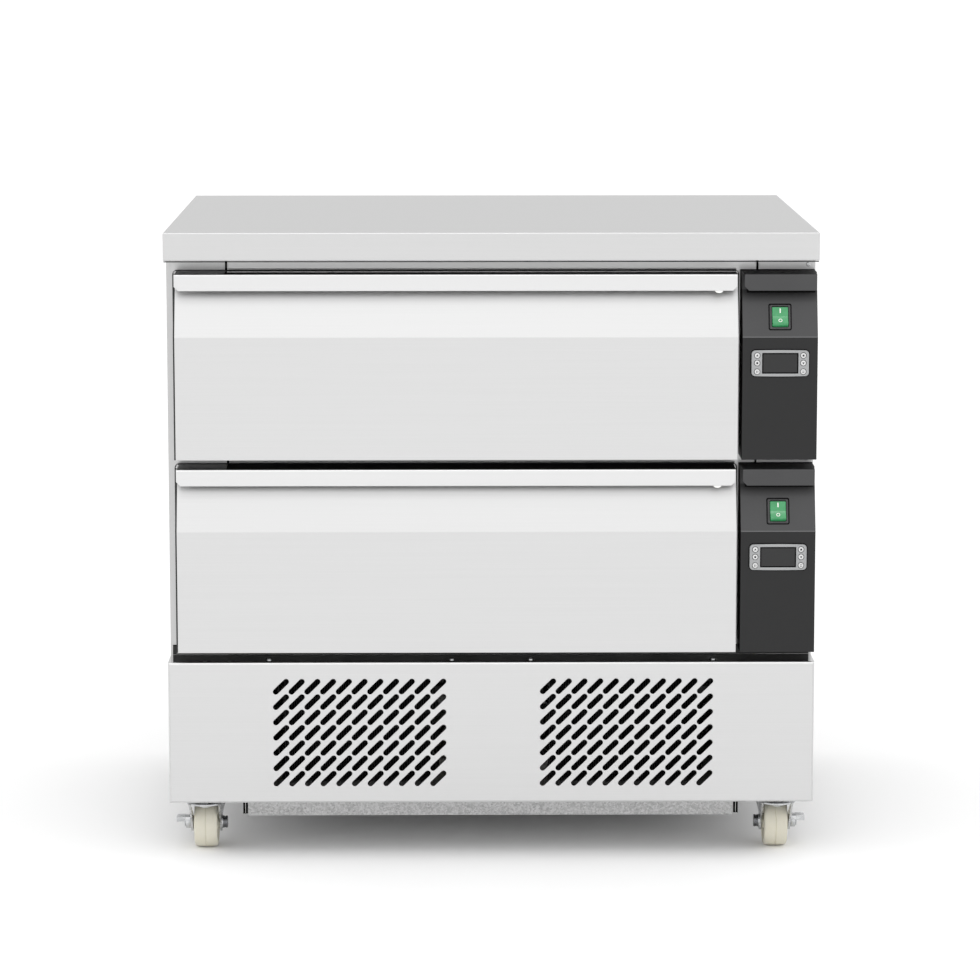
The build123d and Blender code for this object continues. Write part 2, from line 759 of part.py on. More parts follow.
def fan_plane(centre_x):
    """A plane on the back of the condenser, its normal towards the back."""
    return Plane(origin=(centre_x, shroud_front, fan_z), x_dir=(-1, 0, 0), z_dir=(0, 1, 0))


with BuildPart() as fan_shrouds:
    for centre_x in circuit_x:
        plane = fan_plane(centre_x)
        with BuildSketch(plane):
            Rectangle(condenser_width, shroud_height)
            RegularPolygon(throat_radius, round_sides, mode=Mode.SUBTRACT)
        extrude(amount=shroud_sheet)
        with BuildSketch(plane):
            RegularPolygon(throat_radius + shroud_sheet, round_sides)
            RegularPolygon(throat_radius, round_sides, mode=Mode.SUBTRACT)
        extrude(amount=throat_depth)
        with BuildSketch(plane.offset(motor_gap)):
            with PolarLocations((throat_radius + motor_radius - 8) / 2, arm_count, start_angle=90):
                Rectangle(throat_radius - motor_radius + 8, 10)
        extrude(amount=3)
        with BuildSketch(plane.offset(motor_gap)):
            RegularPolygon(motor_radius, small_sides)
        extrude(amount=motor_length)
        with BuildSketch(plane.offset(4)):
            RegularPolygon(shaft_radius, small_sides)
        extrude(amount=motor_gap)
save(fan_shrouds, "fan_shrouds")

# Fans: a hub on the motor shaft with five pitched blades
blade_count = 5
blade_width = 34
blade_thickness = 2
blade_pitch_angle = 28
fan_radius = 66
hub_radius = 16
hub_length = 16
fan_offset = 14
for side_name, centre_x in zip(("left", "right"), circuit_x):
    with BuildPart(fan_plane(centre_x).offset(fan_offset)) as fan:
        with BuildSketch(fan_plane(centre_x).offset(fan_offset)):
            RegularPolygon(hub_radius, small_sides)
        extrude(amount=hub_length / 2, both=True)
        blade_length = fan_radius - hub_radius + 4
        with PolarLocations(hub_radius - 4 + blade_length / 2, blade_count):
            Box(blade_length, blade_width, blade_thickness, rotation=(blade_pitch_angle, 0, 0))
        with BuildSketch(fan_plane(centre_x).offset(fan_offset)):
            RegularPolygon(shaft_radius + shaft_gap, small_sides, major_radius=False)
        extrude(amount=hub_length, both=True, mode=Mode.SUBTRACT)
    save(fan, f"{side_name}_fan")

# Compressors: welded pots on rubber feet in the base tray, each with a terminal box
tray_floor = tray_bottom + sheet
compressor_y = 60
foot_height = 8
foot_plate = 3
pot_radius = 70
pot_bottom = tray_floor + foot_height + foot_plate
belly_height = 24
belly_taper = 40
pot_wall = 88
dome_rings = ((18, 8), (12, 16), (8, 24))
pot_height = belly_height + pot_wall + sum(ring_height for ring_height, ring_step in dome_rings)


def pot_section(centre_x, level, radius):
    """A level slice through a compressor's pot."""
    with BuildSketch(Plane.XY.offset(level)) as section:
        with Locations((centre_x, compressor_y)):
            RegularPolygon(radius, round_sides)
    return section.sketch


with BuildPart() as compressors:
    for centre_x in circuit_x:
        with BuildSketch(Plane.XY.offset(tray_floor)):
            with Locations((centre_x, compressor_y)):
                with GridLocations(150, 100, 2, 2):
                    RegularPolygon(10, 6)
        extrude(amount=foot_height)
        with BuildSketch(Plane.XY.offset(tray_floor + foot_height)) as foot_sheet:
            with Locations((centre_x, compressor_y)):
                Rectangle(180, 130)
            chamfer(foot_sheet.vertices(), 12)
        extrude(amount=foot_plate)
        belly_z = pot_bottom + belly_height
        extrude(pot_section(centre_x, belly_z, pot_radius), amount=-belly_height, taper=belly_taper)
        extrude(pot_section(centre_x, belly_z, pot_radius), amount=pot_wall)
        ring_z = belly_z + pot_wall
        ring_radius = pot_radius
        for ring_height, ring_step in dome_rings:
            taper = degrees(atan2(ring_step, ring_height))
            extrude(pot_section(centre_x, ring_z, ring_radius), amount=ring_height, taper=taper)
            ring_z += ring_height
            ring_radius -= ring_step
        with BuildSketch(Plane.XY.offset(pot_bottom + 50)):
            with Locations((centre_x + pot_radius + 10, compressor_y)):
                Rectangle(40, 50)
        extrude(amount=60)
save(compressors, "compressors")

# Refrigerant pipes: from each compressor to its condenser, and up to its evaporator
pipe_radius = 4
pipe_bend = 12
pipe_top = body_bottom - 20
with BuildPart() as refrigerant_pipes:
    for centre_x in circuit_x:
        pot_top = pot_bottom + pot_height
        entry_x = centre_x + condenser_width / 2
        pipe_y = condenser_front + condenser_depth / 2
        entry_z = condenser_bottom + condenser_height - 15
        discharge = (
            (centre_x, compressor_y, pot_top),
            (centre_x, compressor_y, pipe_top),
            (entry_x + 20, compressor_y, pipe_top),
            (entry_x + 20, pipe_y, pipe_top),
            (entry_x + 20, pipe_y, entry_z - 1),
        )
        suction = (
            (centre_x - pot_radius, compressor_y, pot_bottom + 90),
            (centre_x - pot_radius - 32, compressor_y, pot_bottom + 90),
            (centre_x - pot_radius - 32, compressor_y, body_bottom),
        )
        for route in (discharge, suction):
            with BuildLine() as pipe_line:
                Polyline(*eased(route, pipe_bend))
            with BuildSketch(Plane(origin=pipe_line.line @ 0, z_dir=pipe_line.line % 0)):
                RegularPolygon(pipe_radius, 8)
            sweep(path=pipe_line.line, transition=Transition.RIGHT)
        with BuildSketch(Plane.YZ.offset(entry_x)):
            with Locations((pipe_y, entry_z - 6)):
                Rectangle(24, 14)
        extrude(amount=28)
save(refrigerant_pipes, "refrigerant_pipes")

# Casters: one under each corner. The front pair trail to the back and have brake levers,
# and the rear pair are parked with their wheels turned to the front.
caster_x = 403.5
caster_y = 300
trail = 35
wheel_radius = 35
wheel_width = 32
axle_radius = 4
running_gap = 0.05
kingpin_radius = 5
plate_thickness = 2.5
crown_top = 73.8
crown_bottom = 71
crown_radius = 27
dish_top = 69.5
dish_bottom = 67
dish_taper = 38
leg_inner = 19.3
leg_thickness = 2.5
boss_radius = 13
hub_half = 18.7
# A flat of the tread lies on the floor
tread_turn = 90 + 180 / wheel_sides

casters = {
    "front_left": (-caster_x, -caster_y, 1, -1),
    "front_right": (caster_x, -caster_y, 1, 1),
    "rear_left": (-caster_x, caster_y, -1, -1),
    "rear_right": (caster_x, caster_y, -1, 1),
}

with BuildPart() as caster_plates:
    for pin_x, pin_y, trail_side, outer_side in casters.values():
        with BuildSketch(Plane.XY.offset(base_plane - plate_thickness)):
            with Locations((pin_x, pin_y)):
                Rectangle(72, 60)
        extrude(amount=plate_thickness)
        with BuildSketch(Plane.XY.offset(crown_top + 4)):
            with Locations((pin_x, pin_y)):
                RegularPolygon(22, small_sides)
        extrude(amount=base_plane - plate_thickness - crown_top - 4)
        with BuildSketch(Plane.XY.offset(dish_top + 0.4)):
            with Locations((pin_x, pin_y)):
                RegularPolygon(9, 6)
        extrude(amount=crown_top + 4 - dish_top - 0.4)
        with BuildSketch(Plane.XY.offset(dish_bottom - 0.4)):
            with Locations((pin_x, pin_y)):
                RegularPolygon(kingpin_radius, small_sides)
        extrude(amount=dish_top - dish_bottom + 0.8)
        with BuildSketch(Plane.XY.offset(dish_bottom - 0.4)):
            with Locations((pin_x, pin_y)):
                RegularPolygon(8, tiny_sides)
        extrude(amount=-2.6)
save(caster_plates, "caster_plates")

for caster_name, (pin_x, pin_y, trail_side, outer_side) in casters.items():
    axle_y = pin_y + trail_side * trail
    braked = caster_name.startswith("front")
    with BuildPart() as fork:
        with BuildSketch(Plane.XY.offset(crown_bottom)):
            with Locations((pin_x, pin_y)):
                RegularPolygon(crown_radius, round_sides)
        extrude(amount=crown_top - crown_bottom)
        with BuildSketch(Plane.XY.offset(crown_bottom)):
            with Locations((pin_x, pin_y)):
                RegularPolygon(18, small_sides)
        extrude(amount=dish_bottom - crown_bottom, taper=dish_taper)
        with BuildSketch(Plane.XY.offset(crown_top)):
            with Locations((pin_x, pin_y)):
                RegularPolygon(17, small_sides)
        extrude(amount=dish_top - crown_top, taper=dish_taper, mode=Mode.SUBTRACT)
        with BuildSketch(Plane.XY.offset(dish_bottom)):
            with Locations((pin_x, pin_y)):
                RegularPolygon(kingpin_radius + running_gap, small_sides, major_radius=False)
        extrude(amount=dish_top - dish_bottom, mode=Mode.SUBTRACT)
        for leg_side in (-1, 1):
            leg_x = pin_x + leg_side * (leg_inner + leg_thickness / 2)
            with BuildSketch(Plane.YZ.offset(leg_x)):
                with BuildLine():
                    Polyline(
                        (pin_y - trail_side * 20, crown_top - 1),
                        (pin_y + trail_side * 25, crown_top - 1),
                        (axle_y + trail_side * boss_radius, wheel_radius),
                        (axle_y - trail_side * boss_radius, wheel_radius),
                        close=True,
                    )
                make_face()
                with Locations((axle_y, wheel_radius)):
                    RegularPolygon(boss_radius, small_sides)
            extrude(amount=leg_thickness / 2, both=True)
        inner_face = pin_x - outer_side * (leg_inner + leg_thickness)
        with BuildSketch(Plane.YZ.offset(inner_face)):
            with Locations((axle_y, wheel_radius)):
                RegularPolygon(9.2, 6)
        extrude(amount=-outer_side * 9)
        outer_face = pin_x + outer_side * (leg_inner + leg_thickness)
        bolt_end = 9.5 if braked else 7
        with BuildSketch(Plane.YZ.offset(inner_face)):
            with Locations((axle_y, wheel_radius)):
                RegularPolygon(axle_radius, small_sides)
        extrude(amount=outer_side * (2 * (leg_inner + leg_thickness) + bolt_end))
        with BuildSketch(Plane.YZ.offset(outer_face + outer_side * (8.5 if braked else 0))):
            with Locations((axle_y, wheel_radius)):
                RegularPolygon(6 if braked else 7.5, 6)
        extrude(amount=outer_side * (1 if braked else 7))
    save(fork, f"{caster_name}_fork")

    with BuildPart() as wheel:
        wheel_plane = Plane.YZ.offset(pin_x)
        with BuildSketch(wheel_plane):
            with Locations((axle_y, wheel_radius)):
                RegularPolygon(wheel_radius, wheel_sides, major_radius=False, rotation=tread_turn)
        extrude(amount=wheel_width / 2, both=True)
        chamfer(wheel.edges().group_by(Axis.X)[0] + wheel.edges().group_by(Axis.X)[-1], 3)
        for face_side in (-1, 1):
            with BuildSketch(wheel_plane.offset(face_side * wheel_width / 2)):
                with Locations((axle_y, wheel_radius)):
                    RegularPolygon(26, small_sides)
            extrude(amount=-face_side * 5, mode=Mode.SUBTRACT)
        with BuildSketch(wheel_plane):
            with Locations((axle_y, wheel_radius)):
                RegularPolygon(10, small_sides)
        extrude(amount=hub_half, both=True)
        with BuildSketch(wheel_plane):
            with Locations((axle_y, wheel_radius)):
                RegularPolygon(axle_radius + running_gap, small_sides, major_radius=False)
        extrude(amount=hub_half, both=True, mode=Mode.SUBTRACT)
    save(wheel, f"{caster_name}_wheel")

# Brake levers on the front casters' outer sides: a cam round the axle bolt and a pedal
lever_hub = 9
lever_start = leg_inner + leg_thickness + 0.1
lever_thickness = 8
pedal_width = 18
pedal_low, pedal_high = 36, 45
pedal_neck = 3.2
pedal_reach = 42.5
for caster_name in ("front_left", "front_right"):
    pin_x, pin_y, trail_side, outer_side = casters[caster_name]
    axle_y = pin_y + trail_side * trail
    near_x = pin_x + outer_side * lever_start
    lever_end = lever_start + lever_thickness
    with BuildPart() as lever:
        with BuildSketch(Plane.YZ.offset(near_x)):
            with Locations((axle_y, wheel_radius)):
                RegularPolygon(lever_hub, small_sides)
            with Locations((axle_y, (wheel_radius + pedal_high) / 2)):
                Rectangle(pedal_width, pedal_high - wheel_radius)
            with Locations((axle_y, wheel_radius)):
                RegularPolygon(axle_radius + running_gap, small_sides, major_radius=False, mode=Mode.SUBTRACT)
        extrude(amount=outer_side * lever_thickness)
        with BuildSketch(Plane.XZ.offset(-(axle_y - pedal_width / 2))):
            with Locations((pin_x + outer_side * (lever_end + pedal_reach) / 2, pedal_high - pedal_neck / 2)):
                Rectangle(pedal_reach - lever_end, pedal_neck)
            outer_part = pedal_reach - lever_end - 3
            with Locations((pin_x + outer_side * (pedal_reach - outer_part / 2), (pedal_low + pedal_high) / 2)):
                Rectangle(outer_part, pedal_high - pedal_low)
        extrude(amount=-pedal_width)
        pedal_edges = lever.edges().filter_by(Axis.Y).group_by(Axis.X)
        chamfer(pedal_edges[-1 if outer_side > 0 else 0], 2)
    save(lever, f"{caster_name}_brake_lever")
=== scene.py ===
# %% [markdown]
# # A refrigerated chef base, dressed for its portrait
#
# The object is a low counter on casters with two wide cold drawers. Its sizes and its moving
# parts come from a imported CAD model, which is loaded here as a fixed frame. Everything the
# eye cares about is added round that frame: finishes, round pieces that the CAD keeps as
# prisms, screws, fins and marks. The frame's own parts are never moved or reshaped, so the
# drawers, casters and switches keep working.

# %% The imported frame
import json
from functools import partial
from math import atan2, cos, pi, radians, sin, sqrt

import bmesh
import bpy
from mathutils import Matrix, Vector


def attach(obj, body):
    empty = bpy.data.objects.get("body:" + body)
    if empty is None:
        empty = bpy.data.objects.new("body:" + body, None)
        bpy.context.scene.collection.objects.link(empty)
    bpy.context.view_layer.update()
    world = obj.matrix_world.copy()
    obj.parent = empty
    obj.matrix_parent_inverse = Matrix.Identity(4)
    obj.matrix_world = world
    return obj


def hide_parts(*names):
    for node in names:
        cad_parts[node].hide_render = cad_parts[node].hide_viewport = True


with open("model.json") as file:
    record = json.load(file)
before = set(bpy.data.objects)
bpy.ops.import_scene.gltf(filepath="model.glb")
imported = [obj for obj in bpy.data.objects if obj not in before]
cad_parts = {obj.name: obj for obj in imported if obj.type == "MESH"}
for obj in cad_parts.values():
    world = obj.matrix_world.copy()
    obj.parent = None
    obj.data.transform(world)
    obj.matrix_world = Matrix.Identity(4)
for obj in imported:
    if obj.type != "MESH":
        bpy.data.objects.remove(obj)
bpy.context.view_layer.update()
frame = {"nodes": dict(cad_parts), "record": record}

# %% [markdown]
# ## Three small tools for materials
#
# A shader works in linear light, while the colours one picks are sRGB hex values, so one
# function turns them. A second adds a node with its settings and its links in one call.
# A third starts a finish: a Principled shader, and Object coordinates to draw patterns with.
# They are in metres here and stay on the piece when it moves. A map range takes a value,
# the range it comes from and the range it goes to, in that order.

# %% Colour, nodes and a new finish
def linear(hex_colour):
    """An sRGB hex colour as the linear RGBA that a shader expects."""
    channels = [int(hex_colour[start:start + 2], 16) / 255 for start in (1, 3, 5)]
    return (*[c / 12.92 if c <= 0.04045 else ((c + 0.055) / 1.055) ** 2.4 for c in channels], 1.0)


def set_inputs(node, inputs):
    """Sets inputs by name or number, or in order. Each is a value, a hex colour, a socket, a
    node whose first live output is linked, or a list of these for one socket."""
    for socket, value in inputs.items() if isinstance(inputs, dict) else enumerate(inputs):
        for source in value if isinstance(value, list) else [value]:
            if isinstance(source, bpy.types.Node):
                source = next(output for output in source.outputs if output.enabled)
            if isinstance(source, bpy.types.NodeSocket):
                node.id_data.links.new(source, node.inputs[socket])
            else:
                node.inputs[socket].default_value = linear(source) if isinstance(source, str) else source


def add_node(tree, kind, inputs=(), operation=None, **settings):
    """Adds a node. Its kind is Blender's type without the family that the type starts with."""
    families = ("ShaderNode", "GeometryNode", "FunctionNode", "Node")
    node = tree.nodes.new(next(f + kind for f in families if hasattr(bpy.types, f + kind)))
    if operation:
        node.operation = operation
    for setting, value in settings.items():
        setattr(node, setting, value)
    set_inputs(node, inputs)
    return node


def new_finish(name):
    """A new material in the list of finishes. Returns add_node for its tree, its shader, and
    the place on the piece."""
    finishes[name] = bpy.data.materials.new(name)
    finishes[name].use_nodes = True
    add = partial(add_node, finishes[name].node_tree)
    return add, finishes[name].node_tree.nodes["Principled BSDF"], add("TexCoord").outputs["Object"]


# The Mix node has sockets of every type: these two are its colours
MIX_A, MIX_B = 6, 7
finishes = {}
print("pure mid grey is", round(linear("#808080")[0], 3), "in linear light")

# %% [markdown]
# ## Brushed stainless sheet
#
# The counter is folded from thin stainless steel, brushed with a fine belt. The brush leaves
# strokes about 0.1 mm apart and a hand long, which blur a reflection across the strokes.
# Lines that fine vanish at this size, so they are drawn 1.2 mm apart. Noise stretched along
# one axis gives them, and it feeds the roughness and a very shallow bump. A second, slow
# noise is the slight waviness that thin sheet keeps after folding. A Bevel node rounds the
# look of each fold, which catches a thin line of light on the real edges.

# %% Stainless finishes
STROKE_SPACING, STROKE_LENGTH = 1.2, 260
SOFT_FOLD = 1.3
# The tops of the two tiers of drawers and controls, in millimetres
TIERS = {"upper": 823.0, "lower": 552.5}
LIP_HEIGHT, CREASE_DROP = 23.0, 87.4


def with_level_polish(add, blurred, share):
    """A roughness that falls to a share of itself on level faces."""
    facing = add("SeparateXYZ", (add("NewGeometry").outputs["Normal"],))
    level = add("MapRange", (facing.outputs[2], 0.95, 1.0, 1.0, share))
    return add("Math", (blurred, level), "MULTIPLY")


def height_band(add, place, start, end):
    """A mask that is 1 between two distances, in millimetres, below the top of each tier."""
    height = add("SeparateXYZ", (place,)).outputs[2]
    middle, reach = (start + end) / 2000, (end - start) / 2000
    near = [add("Math", (height, top / 1000 - middle, reach), "COMPARE") for top in TIERS.values()]
    return add("Math", (near[0], near[1]), "MAXIMUM")


def lit_lips_mask(add, place):
    """A mask of the hanging lips, which carry a painted highlight."""
    return height_band(add, place, -0.2, LIP_HEIGHT + 0.2)


def brushed_sheet(name, light, shade, along, roughness, polish=None, lit_lips=None, metal=1.0):
    """Stainless brushed along one axis. Polish is the roughness of its level faces, and
    lit_lips is the lighter colour of the lips, a painted highlight. A metal share below 1
    scatters, as dull sheet does."""
    add, steel, place = new_finish(name)
    scale = tuple(1000 / (STROKE_LENGTH if axis == along else STROKE_SPACING) for axis in "XYZ")
    stretched = add("Mapping", {"Vector": place, "Scale": scale})
    strokes = add("TexNoise", {"Vector": stretched, "Scale": 1.0, "Detail": 2.0})
    waves = add("TexNoise", {"Vector": place, "Scale": 4.0, "Detail": 1.0})
    tone = add("Mix", {0: strokes, MIX_A: light, MIX_B: shade}, data_type="RGBA")
    # The lips are painted lighter: a painted highlight
    if lit_lips:
        tone = add("Mix", {0: lit_lips_mask(add, place), MIX_A: tone, MIX_B: lit_lips}, data_type="RGBA")
    blur = add("MapRange", (strokes, 0.3, 0.7, roughness - 0.02, roughness + 0.02))
    if polish:
        blur = with_level_polish(add, blur, polish / roughness)
    soft_fold = add("Bevel", {"Radius": SOFT_FOLD / 1000}, samples=4)
    grain = add("Bump", {"Strength": 0.05, "Distance": 0.00001, "Height": strokes, "Normal": soft_fold})
    sheet = add("Bump", {"Strength": 0.15, "Distance": 0.0008, "Height": waves, "Normal": grain})
    set_inputs(steel, {"Base Color": tone, "Metallic": metal, "Roughness": blur, "Normal": sheet})


brushed_sheet("brushed_stainless", "#cecece", "#cacaca", "X", 0.3, polish=0.2)
# The front's lips get a painted highlight in a lighter grey
brushed_sheet("front_stainless", "#d2d2d2", "#cecece", "X", 0.36, polish=0.05, lit_lips="#dadada")
brushed_sheet("side_stainless", "#c2c2c2", "#bdbdbd", "Z", 0.3)
brushed_sheet("liner_stainless", "#d6d7d8", "#cbcdcf", "Z", 0.4, metal=0.8)
brushed_sheet("runner_steel", "#c4c6c8", "#b3b6b9", "Y", 0.3)
print("stroke lines", STROKE_SPACING, "mm apart:", sorted(finishes))

# %% [markdown]
# ## Galvanised and zinc-plated steel
#
# The base tray is hot-dip galvanised: zinc freezes on it in flat crystals, the spangle, a few
# millimetres across, each with its own grey and its own gloss. A Voronoi texture gives every
# crystal one random value. Casters and screws are zinc plated instead, so they are smoother,
# with a faint cloudiness. The bolts and the rear screws get a dark zinc; on the bolt heads
# that dark is painted shade.

# %% Zinc finishes
SPANGLE = 2.2


def dress(add, shader, tone, blur, bump, **sockets):
    """Fills a shader. Tone is a mask and two colours, blur feeds a map range, and bump is a
    strength, a depth in millimetres and a height. Further sockets are given by name."""
    mask, light, shade = tone
    strength, depth, height = bump
    mixed = add("Mix", {0: mask, MIX_A: light, MIX_B: shade}, data_type="RGBA")
    relief = add("Bump", {"Strength": strength, "Distance": depth / 1000, "Height": height})
    named = {socket.replace("_", " "): value for socket, value in sockets.items()}
    set_inputs(shader, {"Base Color": mixed, "Roughness": add("MapRange", blur), "Normal": relief, **named})


def zinc_coat(name, light, shade, crystal, smooth, dull):
    """Zinc on steel: crystals of the size given, from smooth to dull."""
    add, steel, place = new_finish(name)
    crystals = add("TexVoronoi", {"Vector": place, "Scale": 1000 / crystal, "Randomness": 1.0})
    each = add("SeparateXYZ", (crystals.outputs["Color"],))
    dust = add("TexNoise", {"Vector": place, "Scale": 900.0, "Detail": 2.0})
    spread = add("Math", (each, dust), "MULTIPLY")
    dress(add, steel, (spread, light, shade), (each.outputs[1], 0.0, 1.0, smooth, dull), (0.25, 0.05, dust),
        Metallic=1.0)


zinc_coat("galvanised_steel", "#cdcdcd", "#7d7d7d", SPANGLE, 0.38, 0.6)
zinc_coat("zinc_plate", "#d6d7d8", "#a9abad", 9.0, 0.22, 0.34)
# A dark zinc: on the bolt heads its darkness is painted shade
zinc_coat("dark_zinc", "#77787a", "#525355", 6.0, 0.12, 0.2)
print("spangle", SPANGLE, "mm")

# %% [markdown]
# ## Coated, moulded and soft surfaces
#
# Powder coat melts into a skin with a faint orange-peel ripple. Enamel inside the machine
# compartment is the same but glossier. Moulded plastics take the sparked grain of their
# mould. All of them are a coloured body under a clear skin, so one function serves: two
# tones that a fine noise mixes, a roughness that wanders, and a bump at the size of the grit.

# %% Coats and mouldings
def skin_over_body(name, light, shade, grit, rough_low, rough_high, depth, **sockets):
    """A coloured body with a textured skin. Grit and depth are in millimetres."""
    add, shader, place = new_finish(name)
    fine = add("TexNoise", {"Vector": place, "Scale": 1000 / grit, "Detail": 2.0})
    broad = add("TexNoise", {"Vector": place, "Scale": 14.0, "Detail": 3.0})
    blend = add("Math", (fine, broad), "MULTIPLY")
    dress(add, shader, (blend, light, shade), (broad, 0.3, 0.7, rough_low, rough_high), (0.3, depth, fine),
        **sockets)


skin_over_body("black_enamel", "#0b0b0c", "#070708", 1.5, 0.35, 0.5, 0.02)
skin_over_body("black_plastic", "#151516", "#0d0d0e", 0.4, 0.38, 0.5, 0.03)
skin_over_body("seal_rubber", "#060606", "#030303", 0.5, 0.85, 0.95, 0.02, Specular_IOR_Level=0.15)
# A lighter copy of the black plastic for the switch bezels: its grey is a painted reflection of the sky on
# their upward faces
skin_over_body("switch_plastic", "#474748", "#3a3a3b", 0.4, 0.36, 0.44, 0.02)
skin_over_body("silver_plastic", "#a3a4a5", "#868788", 0.35, 0.34, 0.42, 0.015, Metallic=0.35)
skin_over_body("pale_keys", "#d6d6d6", "#bdbdbd", 0.35, 0.3, 0.4, 0.015)
skin_over_body("cream_nylon", "#dad7ca", "#cec7ae", 1.2, 0.38, 0.5, 0.03, Subsurface_Weight=0.12,
    Subsurface_Scale=0.004, Subsurface_Radius=(1.0, 0.85, 0.6))
skin_over_body("white_nylon", "#f4f4f1", "#e6e6e2", 0.6, 0.4, 0.5, 0.02)
skin_over_body("grey_gasket", "#6f7174", "#5c5e61", 0.8, 0.55, 0.68, 0.03)
skin_over_body("rigid_foam", "#d9cfa6", "#bcae7d", 0.9, 0.8, 0.95, 0.25)
skin_over_body("dark_display", "#161617", "#101011", 0.5, 0.16, 0.22, 0.004)
skin_over_body("black_print", "#2a2b2d", "#1d1e20", 0.3, 0.5, 0.6, 0.01)
skin_over_body("white_print", "#f7f7f2", "#ecece6", 0.3, 0.45, 0.55, 0.01)
print("coats and mouldings:", len(finishes), "finishes so far")

# %% [markdown]
# ## The black control panels
#
# The two control panels are powder coated. On the real ones the slopes and the lips are much
# greyer than the upright faces, from the light they catch. That light is painted into the coat
# as a painted sheen where a face looks up and on the lips, from a mask built from the surface
# normal and from the height of the lips. Painted shade under each lip keeps the slope blackest
# there, and the fold under each slope gets a painted highlight, a pale line. The level flange on top stays
# matt.

# %% Powder coat with painted sheen and painted shade
# The painted shade under a lip: its middle below the tier's top, and how far it is full and where it fades
# out, in metres
LIP_SHADE_DROP, LIP_SHADE_CLEAR, LIP_SHADE_END = 0.0245, 0.002, 0.016
add, shader, place = new_finish("black_fascia")
peel = add("TexNoise", {"Vector": place, "Scale": 1100.0, "Detail": 2.0})
broad_patches = add("TexNoise", {"Vector": place, "Scale": 14.0, "Detail": 3.0})
facing = add("SeparateXYZ", (add("NewGeometry").outputs["Normal"],))
# A painted highlight where a face looks up: the painted sheen
painted_sheen = add("MapRange", (facing.outputs[2], 0.15, 0.3, 0.0, 1.0))
height = add("SeparateXYZ", (place,)).outputs[2]
# Painted shade under each lip: the painted sheen is taken away near the line under the lip, where clear is
# 0
for top in TIERS.values():
    from_lip = add("Math", (height, top / 1000 - LIP_SHADE_DROP), "SUBTRACT")
    apart = add("Math", (from_lip,), "ABSOLUTE")
    clear = add("MapRange", (apart, LIP_SHADE_CLEAR, LIP_SHADE_END, 0.0, 1.0))
    painted_sheen = add("Math", (painted_sheen, clear), "MULTIPLY")
# The lips get the painted sheen too
painted_sheen = add("Math", (painted_sheen, lit_lips_mask(add, place)), "MAXIMUM")
upright = add("MapRange", (facing.outputs[2], 0.7, 0.9, 1.0, 0.0))
painted_sheen = add("Math", (painted_sheen, upright), "MULTIPLY")
uneven = add("MapRange", (broad_patches, 0.3, 0.7, 0.9, 1.0))
patchy_painted_sheen = add("Math", (painted_sheen, uneven), "MULTIPLY")
# The painted sheen lightens the black coat
coat_tone = add("Mix", {0: patchy_painted_sheen, MIX_A: "#131314", MIX_B: "#404041"}, data_type="RGBA")
in_front = add("MapRange", (facing.outputs[1], -0.9, -0.5, 1.0, 0.0))
# A painted highlight along the fold under each slope, on faces that look forwards
fold_highlight = add("Math", (height_band(add, place, CREASE_DROP - 1.0, CREASE_DROP + 0.4), in_front),
    "MULTIPLY")
coat_tone = add("Mix", {0: fold_highlight, MIX_B: "#5c5c5d", MIX_A: coat_tone}, data_type="RGBA")
coat_blur = add("MapRange", (broad_patches, 0.3, 0.7, 0.42, 0.48))
coat_fold = add("Bevel", {"Radius": 0.0012}, samples=4)
coat_bump = add("Bump", {"Strength": 0.25, "Distance": 0.00002, "Height": peel, "Normal": coat_fold})
set_inputs(shader, {"Base Color": coat_tone, "Normal": coat_bump,
    "Roughness": with_level_polish(add, coat_blur, 1.5), "Specular IOR Level": 0.4})
# The lips carry a painted highlight
print("lips that hands touch, tops at", *TIERS.values(), "mm")

# %% [markdown]
# ## The lit rocker, the fins and the pipes
#
# The rocker is clear green polycarbonate with a lamp inside: light comes out through it, in
# patchy tones of green. The fins are bare rolled aluminium. The pipes are drawn copper that
# has gone brown in patches, and a noise decides where.

# %% Lamp green, aluminium and copper
add, shader, place = new_finish("green_rocker")
glow_cloud = add("TexNoise", {"Vector": place, "Scale": 120.0, "Detail": 1.0})
glow_tone = add("Mix", {0: glow_cloud, MIX_A: "#27804a", MIX_B: "#429a64"}, data_type="RGBA")
lamp_grain = add("TexNoise", {"Vector": place, "Scale": 1500.0})
lamp_bump = add("Bump", {"Strength": 0.1, "Distance": 0.00002, "Height": lamp_grain})
set_inputs(shader, {"Base Color": glow_tone, "Roughness": 0.22, "Normal": lamp_bump,
    "Emission Color": glow_tone, "Emission Strength": 0.1, "Coat Weight": 0.4, "Coat Roughness": 0.08})

add, shader, place = new_finish("fin_aluminium")
rolled = add("Mapping", {"Vector": place, "Scale": (900.0, 900.0, 12.0)})
roll_lines = add("TexNoise", {"Vector": rolled, "Scale": 1.0, "Detail": 2.0})
dress(add, shader, (roll_lines, "#d8d9da", "#aeb0b2"), (roll_lines, 0.0, 1.0, 0.3, 0.45),
    (0.2, 0.03, roll_lines), Metallic=1.0)

add, shader, place = new_finish("copper_pipe")
tarnish = add("TexNoise", {"Vector": place, "Scale": 35.0, "Detail": 4.0})
dress(add, shader, (tarnish, "#8a5c45", "#4c3226"), (tarnish, 0.0, 1.0, 0.25, 0.55), (0.2, 0.05, tarnish),
    Metallic=1.0)
print("all finishes:", len(finishes))

# %% [markdown]
# ## Dressing the CAD parts
#
# Each CAD part names the material slot it was given in the record. Its mesh is left alone
# and only its material is set, so a part can be dressed in a loop.

# %% One finish for each CAD part
for part in frame["record"]["subparts"]:
    cad_mesh = frame["nodes"][part["node"]].data
    cad_mesh.materials.clear()
    cad_mesh.materials.append(finishes[part["material_slot"]])

